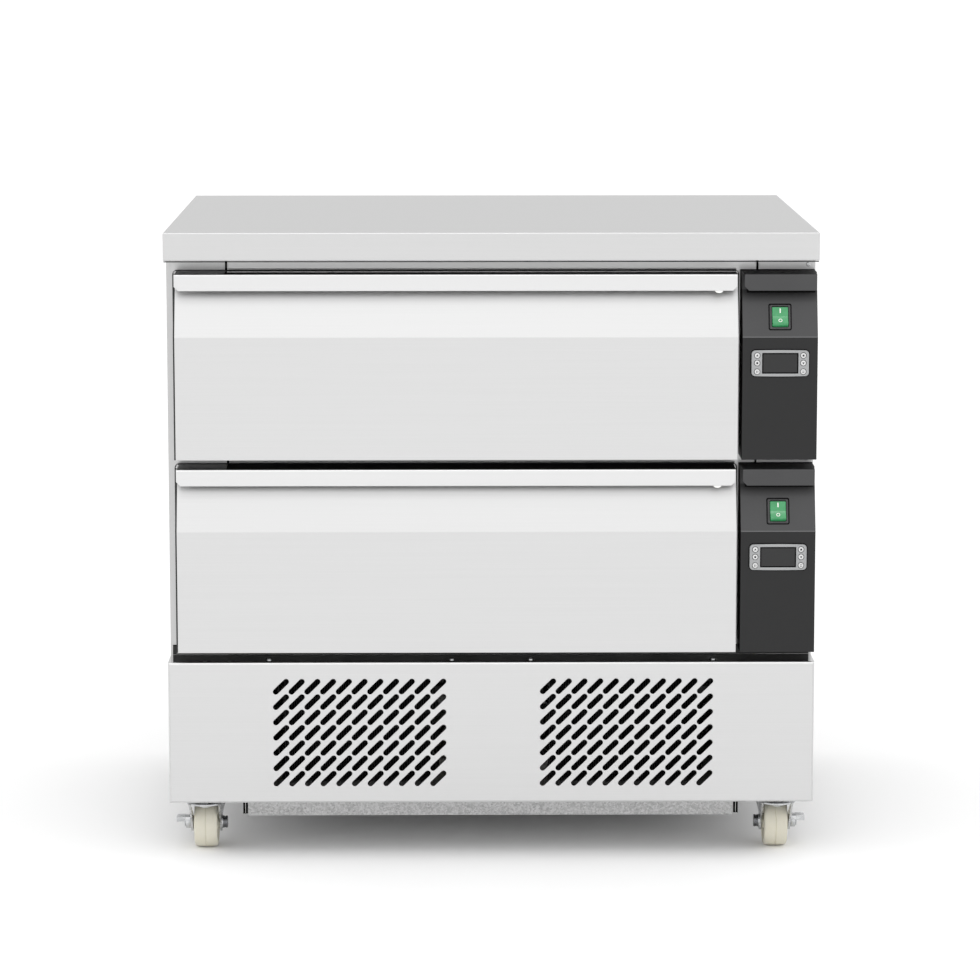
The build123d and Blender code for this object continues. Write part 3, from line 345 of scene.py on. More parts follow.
# %% [markdown]
# ## Shaping tools
#
# New pieces are drawn in millimetres and made metres at the end. Three ways of shaping cover
# them: a loft joins rings of points, a slab is a flat outline with eased edges, and a turned
# piece spins a profile as a lathe does. Each adds a closed shell to a mesh in hand, and
# put_piece finishes the mesh: outward faces, a finish, a body to ride on.

# %% Outlines and places
MOVE = Matrix.Translation
# A place whose z looks out of the fronts: x to the right, y up, z towards the viewer
FRONTWARDS = Matrix(((1, 0, 0, 0), (0, 0, -1, 0), (0, 1, 0, 0), (0, 0, 0, 1)))
# A place whose z runs along X: x to the back, y up
SIDEWAYS = Matrix(((0, 0, 1, 0), (1, 0, 0, 0), (0, 1, 0, 0), (0, 0, 0, 1)))


def oblong(width, height, radius, steps=6):
    """Points anticlockwise round an oblong with round corners."""
    points = []
    for quarter, (side_x, side_y) in enumerate(((1, 1), (-1, 1), (-1, -1), (1, -1))):
        for step in range(steps + 1):
            angle = (quarter + step / steps) * pi / 2
            points.append(Vector((side_x * (width / 2 - radius) + radius * cos(angle),
                side_y * (height / 2 - radius) + radius * sin(angle))))
    return points


def polygon(radius, sides, turn=0.0):
    angles = [turn + 2 * pi * i / sides for i in range(sides)]
    return [Vector((radius * cos(angle), radius * sin(angle))) for angle in angles]


def shifted(outline, x, y):
    return [p + Vector((x, y)) for p in outline]


def inset(outline, distance):
    """An anticlockwise outline moved inwards by a distance."""
    moved = []
    for before, here, after in zip(outline[-1:] + outline[:-1], outline, outline[1:] + outline[:1]):
        arriving, leaving = (here - before).normalized(), (after - here).normalized()
        middle = (arriving + leaving).normalized()
        inwards = Vector((-middle.y, middle.x))
        moved.append(here + inwards * distance / max(0.4, inwards.dot(Vector((-arriving.y, arriving.x)))))
    return moved


def lift(place, outline, level):
    return [place @ Vector((p.x, p.y, level)) for p in outline]


print("points round an oblong:", len(oblong(3, 2, 1)))

# %% Lofts, slabs and turned shapes
def loft(bm, rings, ends="capped"):
    """Joins rings of equally many points. Its ends are capped, or joined to each other."""
    made = [[bm.verts.new(point) for point in ring] for ring in rings]
    pairs = list(zip(made, made[1:])) + ([(made[-1], made[0])] if ends == "joined" else [])
    for low, high in pairs:
        for i in range(len(low)):
            j = (i + 1) % len(low)
            bm.faces.new((low[i], low[j], high[j], high[i]))
    if ends == "capped":
        bm.faces.new(made[0][::-1])
        bm.faces.new(made[-1])


def slab(bm, outline, place, low, high, ease=0.3):
    """A plate with eased edges: the outline lies in place's x and y, low and high are its z."""
    levels = ((low, ease), (low + ease, 0), (high - ease, 0), (high, ease))
    loft(bm, [[place @ p.to_3d() + place.to_3x3() @ Vector((0, 0, z)) for p in inset(outline, distance)]
        for z, distance in levels])


def turned(bm, profile, place, steps=32, ends="capped"):
    """Spins a profile of (radius, height) about place's z."""
    loft(bm, [lift(place, polygon(radius, steps), level) for radius, level in profile], ends)


print("three ways of shaping ready")

# %% Making a piece
TO_METRES = Matrix.Scale(0.001, 4)


def new_object(name, data):
    """An object in the scene that shows the data given."""
    made = bpy.data.objects.new(name, data)
    bpy.context.scene.collection.objects.link(made)
    return made


def settle(bm):
    """Turns a mesh in hand, drawn in millimetres, into a closed mesh in metres."""
    bmesh.ops.remove_doubles(bm, verts=bm.verts, dist=0.001)
    bmesh.ops.recalc_face_normals(bm, faces=bm.faces)
    bm.transform(TO_METRES)
    mesh = bpy.data.meshes.new("shape")
    bm.to_mesh(mesh)
    bm.free()
    return mesh


def put_piece(name, shape, body, slot, *replaced, finish=None, smooth=40):
    """Makes a shape in hand a piece that rides on a body and stands for CAD nodes."""
    mesh = settle(shape) if isinstance(shape, bmesh.types.BMesh) else shape
    mesh.name = name
    mesh.materials.clear()
    mesh.materials.append(finishes[finish or slot])
    mesh.shade_smooth()
    mesh.set_sharp_from_angle(angle=radians(smooth))
    piece = new_object(name, mesh)
    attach(piece, body)
    if replaced:
        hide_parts(*replaced)
    return piece


print("pieces will be smooth up to 40 degrees")

# %% [markdown]
# ## Growing meshes with Geometry Nodes
#
# What repeats is grown by a node tree: the punched slots, the screws and the cooling fins.
# A tree is built once with named inputs for its sizes. The helper below runs it as a
# modifier, sets the inputs by their identifiers, and keeps the result as a plain mesh, so
# that nothing live is left on the finished piece.

# %% Running a tree
def new_tree(name, **sockets):
    """A geometry tree with the inputs given, by name and type. Returns the tree, add_node for
    it, and the sockets of its inputs."""
    tree = bpy.data.node_groups.new(name, "GeometryNodeTree")
    tree.interface.new_socket("Shape", in_out="INPUT", socket_type="NodeSocketGeometry")
    for socket, kind in sockets.items():
        tree.interface.new_socket(socket.replace("_", " "), in_out="INPUT", socket_type="NodeSocket" + kind)
    tree.interface.new_socket("Finish", in_out="INPUT", socket_type="NodeSocketMaterial")
    tree.interface.new_socket("Shape", in_out="OUTPUT", socket_type="NodeSocketGeometry")
    add = partial(add_node, tree)
    return tree, add, add("GroupInput").outputs


def end_tree(add, given, grown):
    """Makes the instances real and gives them the finish."""
    real = add("RealizeInstances", {0: grown})
    coated = add("SetMaterial", {"Geometry": real, "Material": given["Finish"]})
    tree = add("GroupOutput", (coated,)).id_data
    print(tree.name, "tree:", len(tree.nodes), "nodes")


def grow(tree, start, finish, **sizes):
    """Runs a tree on a start mesh with the finish and sizes given and returns a plain mesh."""
    bed = new_object("bed", start)
    modifier = bed.modifiers.new("grow", "NODES")
    modifier.node_group = tree
    sizes["Finish"] = finishes[finish]
    for item in tree.interface.items_tree:
        if item.in_out == "INPUT" and item.name.replace(" ", "_") in sizes:
            modifier[item.identifier] = sizes[item.name.replace(" ", "_")]
    bpy.context.view_layer.update()
    grown = bpy.data.meshes.new_from_object(bed.evaluated_get(bpy.context.evaluated_depsgraph_get()))
    bpy.data.objects.remove(bed)
    return grown


def start_mesh(lines, closed=False):
    """A start mesh of lines of points, in millimetres, closed to rings if asked."""
    points, edges = [], []
    for line in lines:
        first, steps = len(points), len(line) if closed else len(line) - 1
        points += [Vector(p).to_3d() for p in line]
        edges += [(first + i, first + (i + 1) % len(line)) for i in range(steps)]
    mesh = bpy.data.meshes.new("start")
    mesh.from_pydata(points, edges, [])
    return mesh


print("tree runner ready")

# %% [markdown]
# ## The slotted grille panel
#
# Two fields of slanted, round-ended slots are punched through the sheet in front of the
# machines. One could cut them with booleans, but a punched sheet is flat work: draw the
# outline and every slot as curves, fill between them, then thicken the fill. The tree does
# that, with the slot as a filleted rectangle on the points of a grid.

# %% A tree for punched sheet
punched, add, given = new_tree("punched_sheet", Thickness="Float", Slot_Length="Float", Slot_Width="Float",
    Slant="Float", Columns="Int", Rows="Int", Pitch_X="Float", Pitch_Z="Float", Field_X="Float",
    Field_Z="Float")
sheet_edge = add("MeshToCurve", {0: given["Shape"]})
one_slot = add("CurvePrimitiveQuadrilateral", {"Width": given["Slot Length"],
    "Height": given["Slot Width"]}, mode="RECTANGLE")
half_slot = add("Math", (given["Slot Width"], 0.499), "MULTIPLY")
round_slot = add("FilletCurve", {"Curve": one_slot, "Count": 6, "Radius": half_slot}, mode="POLY")
slanted = add("CombineXYZ", {"Z": given["Slant"]})
all_fields = [sheet_edge]
for side in (-1, 1):
    spans = []
    for count, pitch in (("Columns", "Pitch X"), ("Rows", "Pitch Z")):
        gaps = add("Math", (given[count], 1.0), "SUBTRACT")
        spans.append(add("Math", (gaps, given[pitch]), "MULTIPLY"))
    grid = add("MeshGrid", {"Size X": spans[0], "Size Y": spans[1], "Vertices X": given["Columns"],
        "Vertices Y": given["Rows"]})
    aside = add("Math", (given["Field X"], float(side)), "MULTIPLY")
    centre = add("CombineXYZ", {"X": aside, "Y": given["Field Z"]})
    moved = add("Transform", {"Geometry": grid, "Translation": centre})
    all_fields.append(add("InstanceOnPoints", {"Points": moved, "Instance": round_slot,
        "Rotation": slanted}))
fields = add("JoinGeometry", {0: all_fields})
all_lines = add("RealizeInstances", {0: fields})
filled = add("FillCurve", {0: all_lines}, mode="TRIANGLES")
raised = add("ExtrudeMesh", {"Mesh": filled, "Offset Scale": given["Thickness"], "Individual": False},
    mode="FACES")
underside = add("FlipFaces", {0: filled})
both = add("JoinGeometry", {0: [raised, underside]})
closed = add("MergeByDistance", {"Geometry": both, "Distance": 0.005})
end_tree(add, given, closed)

# %% Folding the grille's walls round its punched front
FRONT = -350.0
GRILLE_LOW, GRILLE_HIGH = 81.8, 281.4
GRILLE_SHEET = 1.5
GRILLE_BEND = 2.2
FIELD_SHIFT = 2.3
grille_middle = (GRILLE_LOW + GRILLE_HIGH) / 2
SLOT_COLUMNS, SLOT_ROWS = 11, 7
face_outline = oblong(900 - 2 * GRILLE_BEND, GRILLE_HIGH - GRILLE_LOW - 2 * GRILLE_BEND, 0.4, 2)
centred_on_fields = [p - Vector((FIELD_SHIFT, 0)) for p in face_outline]
punched_face = grow(punched, start_mesh([centred_on_fields], closed=True), "front_stainless",
    Thickness=GRILLE_SHEET, Slot_Length=28.3, Slot_Width=8.0, Slant=radians(44.5), Columns=SLOT_COLUMNS,
    Rows=SLOT_ROWS, Pitch_X=21.9, Pitch_Z=21.8, Field_X=186.0, Field_Z=181.8 - grille_middle)
grille = bmesh.new()
grille.from_mesh(punched_face)
grille.transform(MOVE((FIELD_SHIFT, FRONT + GRILLE_SHEET, grille_middle)) @ FRONTWARDS)


def tray_ring(margin, depth):
    """A ring round the folded tray. Its lower edge ends at the hem, in front of the casters."""
    ring = []
    for p in oblong(900 - 2 * margin, GRILLE_HIGH - GRILLE_LOW - 2 * margin, 0.4, 2):
        hemmed = p.y < -(GRILLE_HIGH - GRILLE_LOW) / 2 + GRILLE_SHEET + 0.5 and abs(p.x) < 449.5 - margin
        ring.append(Vector((p.x, min(depth, -325.0) if hemmed else depth, grille_middle + p.y)))
    return ring


bend_rings = []
for step in range(5):
    angle = step / 4 * pi / 2
    bend_rings.append(tray_ring(GRILLE_BEND * (1 - sin(angle)), FRONT + GRILLE_BEND * (1 - cos(angle))))
inside = [tray_ring(GRILLE_SHEET, -290.0), tray_ring(GRILLE_SHEET, FRONT + GRILLE_BEND),
    tray_ring(GRILLE_BEND, FRONT + GRILLE_SHEET)]
loft(grille, bend_rings + [tray_ring(0, -290.0)] + inside, ends="joined")
put_piece("grille", grille, "cabinet", "front_stainless", "grille_panel", smooth=5)
print("slots:", 2 * SLOT_COLUMNS * SLOT_ROWS)

# %% [markdown]
# ## Screws
#
# Pan-head screws with a cross recess hold the grille's ledge, the rear panel and the front
# returns. A screw is the same shape many times, so a tree makes one head, cuts its cross and
# sets it on the points it is given, each turned by chance as a driver leaves them. The
# cross's two arms are united first, because a boolean wants a cutter that doesn't cut itself.

# %% A tree for pan-head screws
screw_tree, add, given = new_tree("pan_head_screws", Radius="Float", Height="Float", Facing="Rotation",
    Seed="Int")
half_height = add("Math", (given["Height"], 0.5), "MULTIPLY")
crown_radius = add("Math", (given["Radius"], 0.72), "MULTIPLY")
rim = add("MeshCylinder", {"Vertices": 16, "Radius": given["Radius"], "Depth": half_height})
dome = add("MeshCone", {"Vertices": 16, "Radius Top": crown_radius, "Radius Bottom": given["Radius"],
    "Depth": half_height})
quarter_up = add("Math", (given["Height"], 0.25), "MULTIPLY")
rim_place = add("CombineXYZ", {"Z": quarter_up})
rim_up = add("Transform", {"Geometry": rim, "Translation": rim_place})
dome_place = add("CombineXYZ", {"Z": half_height})
dome_up = add("Transform", {"Geometry": dome, "Translation": dome_place})
head = add("MeshBoolean", {"Mesh 2": [rim_up, dome_up]}, "UNION", solver="EXACT")
top_place = add("CombineXYZ", {"Z": given["Height"]})
arms = []
for width_share, height_share in ((0.95, 0.22), (0.22, 0.95)):
    shares = {"X": width_share, "Y": height_share, "Z": 0.5}
    sizes = {axis: add("Math", (given["Radius"], share), "MULTIPLY") for axis, share in shares.items()}
    arm_size = add("CombineXYZ", sizes)
    arm = add("MeshCube", {"Size": arm_size})
    arms.append(add("Transform", {"Geometry": arm, "Translation": top_place}))
cross = add("MeshBoolean", {"Mesh 2": arms}, "UNION", solver="EXACT")
recessed = add("MeshBoolean", {"Mesh 1": head, "Mesh 2": cross}, "DIFFERENCE", solver="EXACT")
chance = add("RandomValue", {"Seed": given["Seed"]}, data_type="FLOAT")
chance.inputs[3].default_value = 2 * pi
spin = add("CombineXYZ", {"Z": chance.outputs[1]})
spin_turn = add("EulerToRotation", {0: spin})
turn = add("RotateRotation", {0: given["Facing"], 1: spin_turn}, rotation_space="LOCAL")
on_points = add("InstanceOnPoints", {"Points": given["Shape"], "Instance": recessed, "Rotation": turn})
end_tree(add, given, on_points)

# %% Where the screws go
UP, TO_FRONT, TO_BACK = (0, 0, 0), (radians(90), 0, 0), (radians(-90), 0, 0)
REAR = 350.0
rear_border = [(x, REAR, z) for x in (-425, 425) for z in (120, 300, 480, 660, 830)]
rear_border += [(x, REAR, z) for z in (112, 833) for x in (-255, -85, 85, 255)]
# Each row: its points, the way they face, radius and height of a head, and a seed
screw_rows = {"ledge_screws": ([(x, -329, GRILLE_HIGH) for x in (-310, -55, 55, 310)], UP, 3.4, 1.8, 3),
    "rear_screws": (rear_border, TO_BACK, 4.0, 2.2, 5),
    "front_return_screws": ([(440, -290, z) for z in (559, 831)], TO_FRONT, 3.0, 1.6, 7)}
for name, (points, facing, radius, height, seed) in screw_rows.items():
    heads = grow(screw_tree, start_mesh([[p] for p in points]), "zinc_plate", Radius=radius, Height=height,
        Facing=facing, Seed=seed)
    heads.transform(TO_METRES)
    put_piece(name, heads, "cabinet", "zinc_plate", finish="dark_zinc" if name == "rear_screws" else None)
    print(name, len(points), "heads of", len(heads.polygons) // len(points), "faces")

# %% [markdown]
# ## The rocker switches
#
# Each switch sits in the slope. Its bezel is a shallow frame with a deep window, and the
# rocker in the window is a clear green moulding pressed at the top. The rocker's side view
# is two flats on a round belly, so it is drawn as an outline and thickened across. White
# marks are printed on it: a bar for on and a ring for off, as on any such switch.

# %% Bezels and rockers
CONTROL_X = 397.4
SLOPE_DEPTH, SWITCH_DROP = 28.0, 60.2
slope_length = sqrt(CREASE_DROP ** 2 + SLOPE_DEPTH ** 2)


def slope_place(top, drop, x=CONTROL_X):
    """A place on the slope: x to the right, y up the slope, z out of it."""
    up = Vector((0, SLOPE_DEPTH, CREASE_DROP)) / slope_length
    out = Vector((0, -CREASE_DROP, SLOPE_DEPTH)) / slope_length
    origin = Vector((x, FRONT + SLOPE_DEPTH * (CREASE_DROP - drop) / CREASE_DROP, top - drop))
    axes = Matrix((Vector((1, 0, 0)), up, out)).transposed()
    return MOVE(origin) @ axes.to_4x4()


def flat_ring(bm, place, outer, hole, low, high):
    """A flat ring between two outlines."""
    rings = ((hole, low), (outer, low), (outer, high), (hole, high))
    loft(bm, [lift(place, outline, level) for outline, level in rings], ends="joined")


BELLY_RADIUS, BELLY_DEPTH = 14.4, -3.5
rocker_side = [Vector((13.2, 2.4)), Vector((0.6, 2.4)), Vector((-0.6, 2.55)), Vector((-10.3, 6.5))]
for step in range(25):
    angle = radians(140 + step * (382 - 140) / 24)
    rocker_side.append(Vector((BELLY_RADIUS * cos(angle),
        max(-13.0, BELLY_DEPTH + BELLY_RADIUS * sin(angle)))))
switches, shade_rings = bmesh.new(), bmesh.new()
for tier, top in TIERS.items():
    slope = slope_place(top, SWITCH_DROP)
    bezel, window, behind = oblong(28.8, 34.2, 1.8), oblong(22.8, 29.4, 1.2), oblong(26, 32, 1.0)
    frame_rings = ((window, -18.5), (window, 1.4), (inset(window, -0.5), 2.0), (inset(bezel, 1.2), 2.0),
        (inset(bezel, 0.6), 0.9), (bezel, 0.4), (behind, 0.4), (behind, -20.0))
    loft(switches, [lift(slope, outline, level) for outline, level in frame_rings])
    # A near-black ring round each bezel: painted shade
    shade_ring, shade_ring_hole = oblong(31.8, 37.4, 2.6), oblong(26.2, 32.2, 1.0)
    flat_ring(shade_rings, slope, shade_ring, shade_ring_hole, 0, 0.38)
    rocker = bmesh.new()
    slab(rocker, rocker_side, slope @ SIDEWAYS, -10.9, 10.9, 0.5)
    put_piece(f"{tier}_lamp_rocker", rocker, f"{tier}_rocker", "green_rocker", f"{tier}_rocker")
    marks = bmesh.new()
    slab(marks, oblong(1.5, 6.4, 0.3, 2), slope @ MOVE((0, 8.4, 2.4)), 0, 0.12, 0.04)
    tilt = atan2(3.95, 9.7)
    lower_face = slope @ MOVE((0, -5.8, 4.72)) @ Matrix.Rotation(-tilt, 4, "X")
    ring_out, ring_in = polygon(2.7, 24), polygon(1.8, 24)
    flat_ring(marks, lower_face, ring_out, ring_in, 0, 0.12)
    put_piece(f"{tier}_rocker_marks", marks, f"{tier}_rocker", "green_rocker", finish="white_print")
# The bezels' lighter grey is a painted reflection
put_piece("switch_frames", switches, "cabinet", "black_plastic", "switch_bodies", finish="switch_plastic")
# The rings of painted shade round the switch bezels
put_piece("switch_seals", shade_rings, "cabinet", "black_plastic", finish="seal_rubber")
print("rockers made:", len(TIERS))

# %% [markdown]
# ## The thermostats
#
# A silver bezel is clipped into the black upright face, with a smoked window in the middle
# and three round keys at each side. The bezel is flat work with holes, so the punched-sheet
# tree makes it too: an outline, the window and six key holes as closed lines, no slot grid.
# The keys are turned with a shallow dome, and each has a small plain sign.

# %% Bezels, windows and cases
THERMOSTAT_DROP = 123.1
KEY_COLUMNS = {"left": -31.8, "right": 31.8}
KEY_ROWS = {"top": 10.8, "middle": 0.4, "bottom": -11.6}
KEY_PROUD, KEY_RADIUS = 3.6, 3.6
BEZEL_THICKNESS = 3.0


def bezel_outline(width, height, radius, bow):
    """A rounded rectangle whose long sides bow outwards a little."""
    outline = oblong(width, height - 2 * bow, radius)
    filled_out = []
    for here, after in zip(outline, outline[1:] + outline[:1]):
        for part in range(12 if (after - here).length > width / 2 else 1):
            filled_out.append(here.lerp(after, part / 12))
    return [Vector((p.x, p.y + (1 if p.y > 0 else -1) * bow * (1 - (2 * p.x / width) ** 2)))
        for p in filled_out]


def holed_plate(outline, holes, thickness, finish):
    """Flat work with holes: the punched-sheet tree without its slots."""
    return grow(punched, start_mesh([outline, *holes], closed=True), finish, Thickness=thickness,
        Slot_Length=0.02, Slot_Width=0.01, Slant=0.0, Columns=0, Rows=0, Pitch_X=1.0, Pitch_Z=1.0,
        Field_X=0.0, Field_Z=0.0)


key_holes = [shifted(polygon(KEY_RADIUS + 0.7, 24), x, y) for x in KEY_COLUMNS.values()
    for y in KEY_ROWS.values()]
window_hole, case_edge = oblong(50, 28.6, 0.8, 3), oblong(73, 33, 1.0, 2)
bezels, cases = bmesh.new(), bmesh.new()
for tier, top in TIERS.items():
    middle = MOVE((CONTROL_X, FRONT, top - THERMOSTAT_DROP))
    border = middle @ FRONTWARDS
    front_plate = holed_plate(bezel_outline(79, 36.6, 5.0, 0.6), [window_hole] + key_holes, BEZEL_THICKNESS,
        "silver_plastic")
    front_plate.transform(border)
    bezels.from_mesh(front_plate)
    key_guide = holed_plate(case_edge, key_holes, 4.0, "black_plastic")
    key_guide.transform(middle @ MOVE((0, 4.0, 0)) @ FRONTWARDS)
    cases.from_mesh(key_guide)
    slab(cases, case_edge, border, -46, -4, 0.4)
    # A near-black ring round each bezel: painted shade
    shade_ring, shade_ring_hole = bezel_outline(81.6, 39.0, 6.2, 0.6), bezel_outline(74.2, 34.2, 3.0, 0.6)
    flat_ring(cases, border, shade_ring, shade_ring_hole, 0, 0.4)
    window_edge, pane_edge = oblong(49.9, 28.5, 0.8, 3), oblong(46.6, 25.2, 0.8, 3)
    loft(cases, [lift(border, pane_edge, 2.02), lift(border, window_edge, 2.02),
        lift(border, window_edge, 2.5), lift(border, pane_edge, 2.3)], ends="joined")
bezel_piece = put_piece("thermostat_bezels", bezels, "cabinet", "silver_plastic", "thermostats")
# The cases are black; the ring round each bezel in them is painted shade
put_piece("thermostat_cases", cases, "cabinet", "black_plastic", finish="seal_rubber")
soft_rim = bezel_piece.modifiers.new("soft rim", "BEVEL")
soft_rim.width = 0.0005
soft_rim.segments = 2
soft_rim.limit_method = "ANGLE"
soft_rim.angle_limit = radians(50)
print("faces of the two bezels:", len(bezel_piece.data.polygons))

# %% Keys and their signs
key_signs = {"left_top": [polygon(1.9, 3, pi / 2)], "left_middle": [polygon(1.5, 16)],
    "left_bottom": [shifted(oblong(0.7, 3.2, 0.2, 2), x, 0) for x in (-1.0, 1.0)],
    "right_top": [oblong(2.6, 2.6, 0.4, 2)], "right_middle": [polygon(1.9, 3, -pi / 2)],
    "right_bottom": [shifted(oblong(3.2, 0.7, 0.2, 2), 0, y) for y in (-1.0, 1.0)]}
for tier, top in TIERS.items():
    for column_name, column in KEY_COLUMNS.items():
        for row_name, row in KEY_ROWS.items():
            key_name = f"{tier}_key_{column_name}_{row_name}"
            key_place = MOVE((CONTROL_X + column, FRONT, top - THERMOSTAT_DROP + row)) @ FRONTWARDS
            key = bmesh.new()
            turned(key, ((KEY_RADIUS, -3.2), (KEY_RADIUS, 2.9), (3.3, 3.25), (2.6, 3.4), (1.2, 3.47)),
                key_place, 24)
            put_piece(f"{key_name}_cap", key, key_name, "silver_plastic", key_name, finish="pale_keys")
            sign = bmesh.new()
            for outline in key_signs[f"{column_name}_{row_name}"]:
                slab(sign, outline, key_place, 3.4, KEY_PROUD, 0.03)
            put_piece(f"{key_name}_sign", sign, key_name, "silver_plastic", finish="black_print")
print("keys made:", 2 * len(KEY_COLUMNS) * len(KEY_ROWS))

# %% [markdown]
# ## The casters
#
# Each caster has a fixed top plate, a pressed fork that swivels on a kingpin, and a cream
# nylon wheel on an axle bolt. The front pair have brake levers. Turned shapes give the crown
# and wheel, and each leg is lofted level by level, so that it can lean in from the crown.

# %% Where the casters stand, and a slice of a leg
WHEEL_RADIUS, TRAIL = 35.0, 35.0
LEG_INNER, LEG_SHEET, BOSS = 19.3, 2.5, 13.0
LEG_TOP, FLARE_START = 72.8, 44.0
# Each caster: where its pin stands, the way it trails, and its outer side
casters = {"front_left": (-403.5, -300.0, 1, -1), "front_right": (403.5, -300.0, 1, 1),
    "rear_left": (-403.5, 300.0, -1, -1), "rear_right": (403.5, 300.0, -1, 1)}


def leg_ring(level, pin, trail_side, leg_side):
    """A level slice of a leg: round at the axle, and flaring out behind up to the crown."""
    if level < WHEEL_RADIUS:
        reach = sqrt(max(0.5, BOSS ** 2 - (level - WHEEL_RADIUS) ** 2))
        low, high = TRAIL - reach, TRAIL + reach
    else:
        share = (level - WHEEL_RADIUS) / (LEG_TOP - WHEEL_RADIUS)
        low = (TRAIL - BOSS) + share * (-20 - TRAIL + BOSS)
        high = (TRAIL + BOSS) + share * (25 - TRAIL - BOSS)
    rise = max(0.0, (level - FLARE_START) / (LEG_TOP - FLARE_START))
    front_flare, back_flare = 0.6 * rise ** 3, 8.0 * rise ** 1.3
    corners = ((LEG_INNER + front_flare, low), (LEG_INNER + LEG_SHEET + front_flare, low),
        (LEG_INNER + LEG_SHEET + back_flare, high), (LEG_INNER + back_flare, high))
    return [Vector((pin[0] + leg_side * x, pin[1] + trail_side * y, level)) for x, y in corners]


print("axles", WHEEL_RADIUS, "mm high, trailing by", TRAIL, "mm")

# %% Plates, forks, wheels and brakes
plates = bmesh.new()
for name, (pin_x, pin_y, trail_side, outer_side) in casters.items():
    braked = name.startswith("front")
    pin = MOVE((pin_x, pin_y, 0))
    axle = MOVE((pin_x, pin_y + trail_side * TRAIL, WHEEL_RADIUS)) @ SIDEWAYS
    slab(plates, oblong(72, 60, 6), pin, 95.5, 98, 0.5)
    for bolt_x in (-27, 27):
        for bolt_y in (-21, 21):
            slab(plates, polygon(5, 6), pin @ MOVE((bolt_x, bolt_y, 0)), 92, 95.5, 0.5)
    turned(plates, ((16, 95.5), (21, 94), (22, 90), (22, 82), (21.2, 79), (18, 77.8), (9, 77.8)), pin)
    slab(plates, polygon(8.8, 6), pin, 69.9, 77.8, 0.6)
    turned(plates, ((4.9, 69.9), (4.9, 66.6), (8, 66.6), (7.6, 65), (5, 64.1)), pin, 24)

    fork = bmesh.new()
    turned(fork, ((5.1, 67), (12.9, 67), (17.6, 71), (26.3, 71), (27, 71.7), (27, 73.1), (26.3, 73.8),
        (17, 73.8), (12.2, 69.5), (5.1, 69.5)), pin, 40, ends="joined")
    for leg_side in (-1, 1):
        heights = [22.1, 23, 25, 28, 31, 35, 40, 45, 50, 55, 60, 65, 69, LEG_TOP]
        loft(fork, [leg_ring(level, (pin_x, pin_y), trail_side, leg_side) for level in heights])
    inner = -outer_side * (LEG_INNER + LEG_SHEET)
    turned(fork, ((9.4, inner), (9.4, inner - outer_side * 1.2)), axle, 32)
    bolt = bmesh.new()
    bolt_steps = ((8.0, 0.0), (8.7, 0.7), (8.7, 3.0), (8.3, 3.4), (8.3, 4.9), (8.7, 5.3), (8.7, 7.2),
        (7.9, 8.0))
    turned(bolt, [(radius, inner - outer_side * level) for radius, level in bolt_steps], axle, 32)
    # The bolt head's dark zinc is painted shade
    put_piece(f"{name}_bolt_head", bolt, f"{name}_fork", "zinc_plate", finish="dark_zinc")
    outer_end = outer_side * (LEG_INNER + LEG_SHEET + (9.5 if braked else 7))
    turned(fork, ((3.9, inner), (3.9, outer_end)), axle, 20)
    nut_near = outer_side * (LEG_INNER + LEG_SHEET + (8.4 if braked else 0.3))
    nut_far = outer_end if braked else nut_near + outer_side * 5.5
    slab(fork, polygon(7, 6), axle, *sorted((nut_near, nut_far)), 0.4)
    put_piece(f"{name}_pressed_fork", fork, f"{name}_fork", "zinc_plate", f"{name}_fork")

    wheel = bmesh.new()
    half = [(34.2, 0.3), (34.95, 0.8), (34.8, 6), (34.4, 11), (33.7, 14.6), (32.6, 16), (31, 16.4),
        (27, 16.4), (26, 15.4), (24.8, 11.2), (12, 11), (10.6, 12), (10, 18.2), (9.6, 18.7), (4.1, 18.7)]
    profile = [(r, -x) for r, x in half[::-1]] + half
    turned(wheel, profile, axle, 56, ends="joined")
    put_piece(f"{name}_tyre", wheel, f"{name}_wheel", "cream_nylon", f"{name}_wheel")

    if braked:
        lever = bmesh.new()
        near = outer_side * 21.95
        turned(lever, ((8.4, near), (9, near + outer_side * 0.8), (9, near + outer_side * 7.2),
            (8.4, near + outer_side * 7.9), (4.1, near + outer_side * 7.9), (4.1, near)), axle, 32,
            ends="joined")
        pedal_ends = sorted((near + outer_side * 0.6, outer_side * 42.5))
        slab(lever, oblong(17, 7.6, 1.6, 4), axle @ MOVE((0.4, 5.6, 0)), *pedal_ends, 0.8)
        rib_ends = sorted((outer_side * 30.5, outer_side * 42.2))
        for rib in range(4):
            slab(lever, oblong(1.4, 1.1, 0.3, 2), axle @ MOVE((-8.2, 2.6 + rib * 2.0, 0)), *rib_ends, 0.2)
            slab(lever, oblong(1.1, 1.2, 0.3, 2), axle @ MOVE((-6 + rib * 4, 9.3, 0)), *rib_ends, 0.2)
        put_piece(f"{name}_brake_pedal", lever, f"{name}_brake_lever", "zinc_plate", f"{name}_brake_lever")
put_piece("caster_tops", plates, "cabinet", "zinc_plate", "caster_plates")
print("casters made:", len(casters))

# %% [markdown]
# ## Machines behind the grille
#
# Under the cold drawers stand two compressors, two finned condensers with fans, and the
# pipes between them. They show through the slots and the louvres, mostly as dark shapes.
# Fins repeat and pipes follow a path, so each gets a tree: one sets a row of thin plates on
# the points given, the other runs a round section along a bent route.

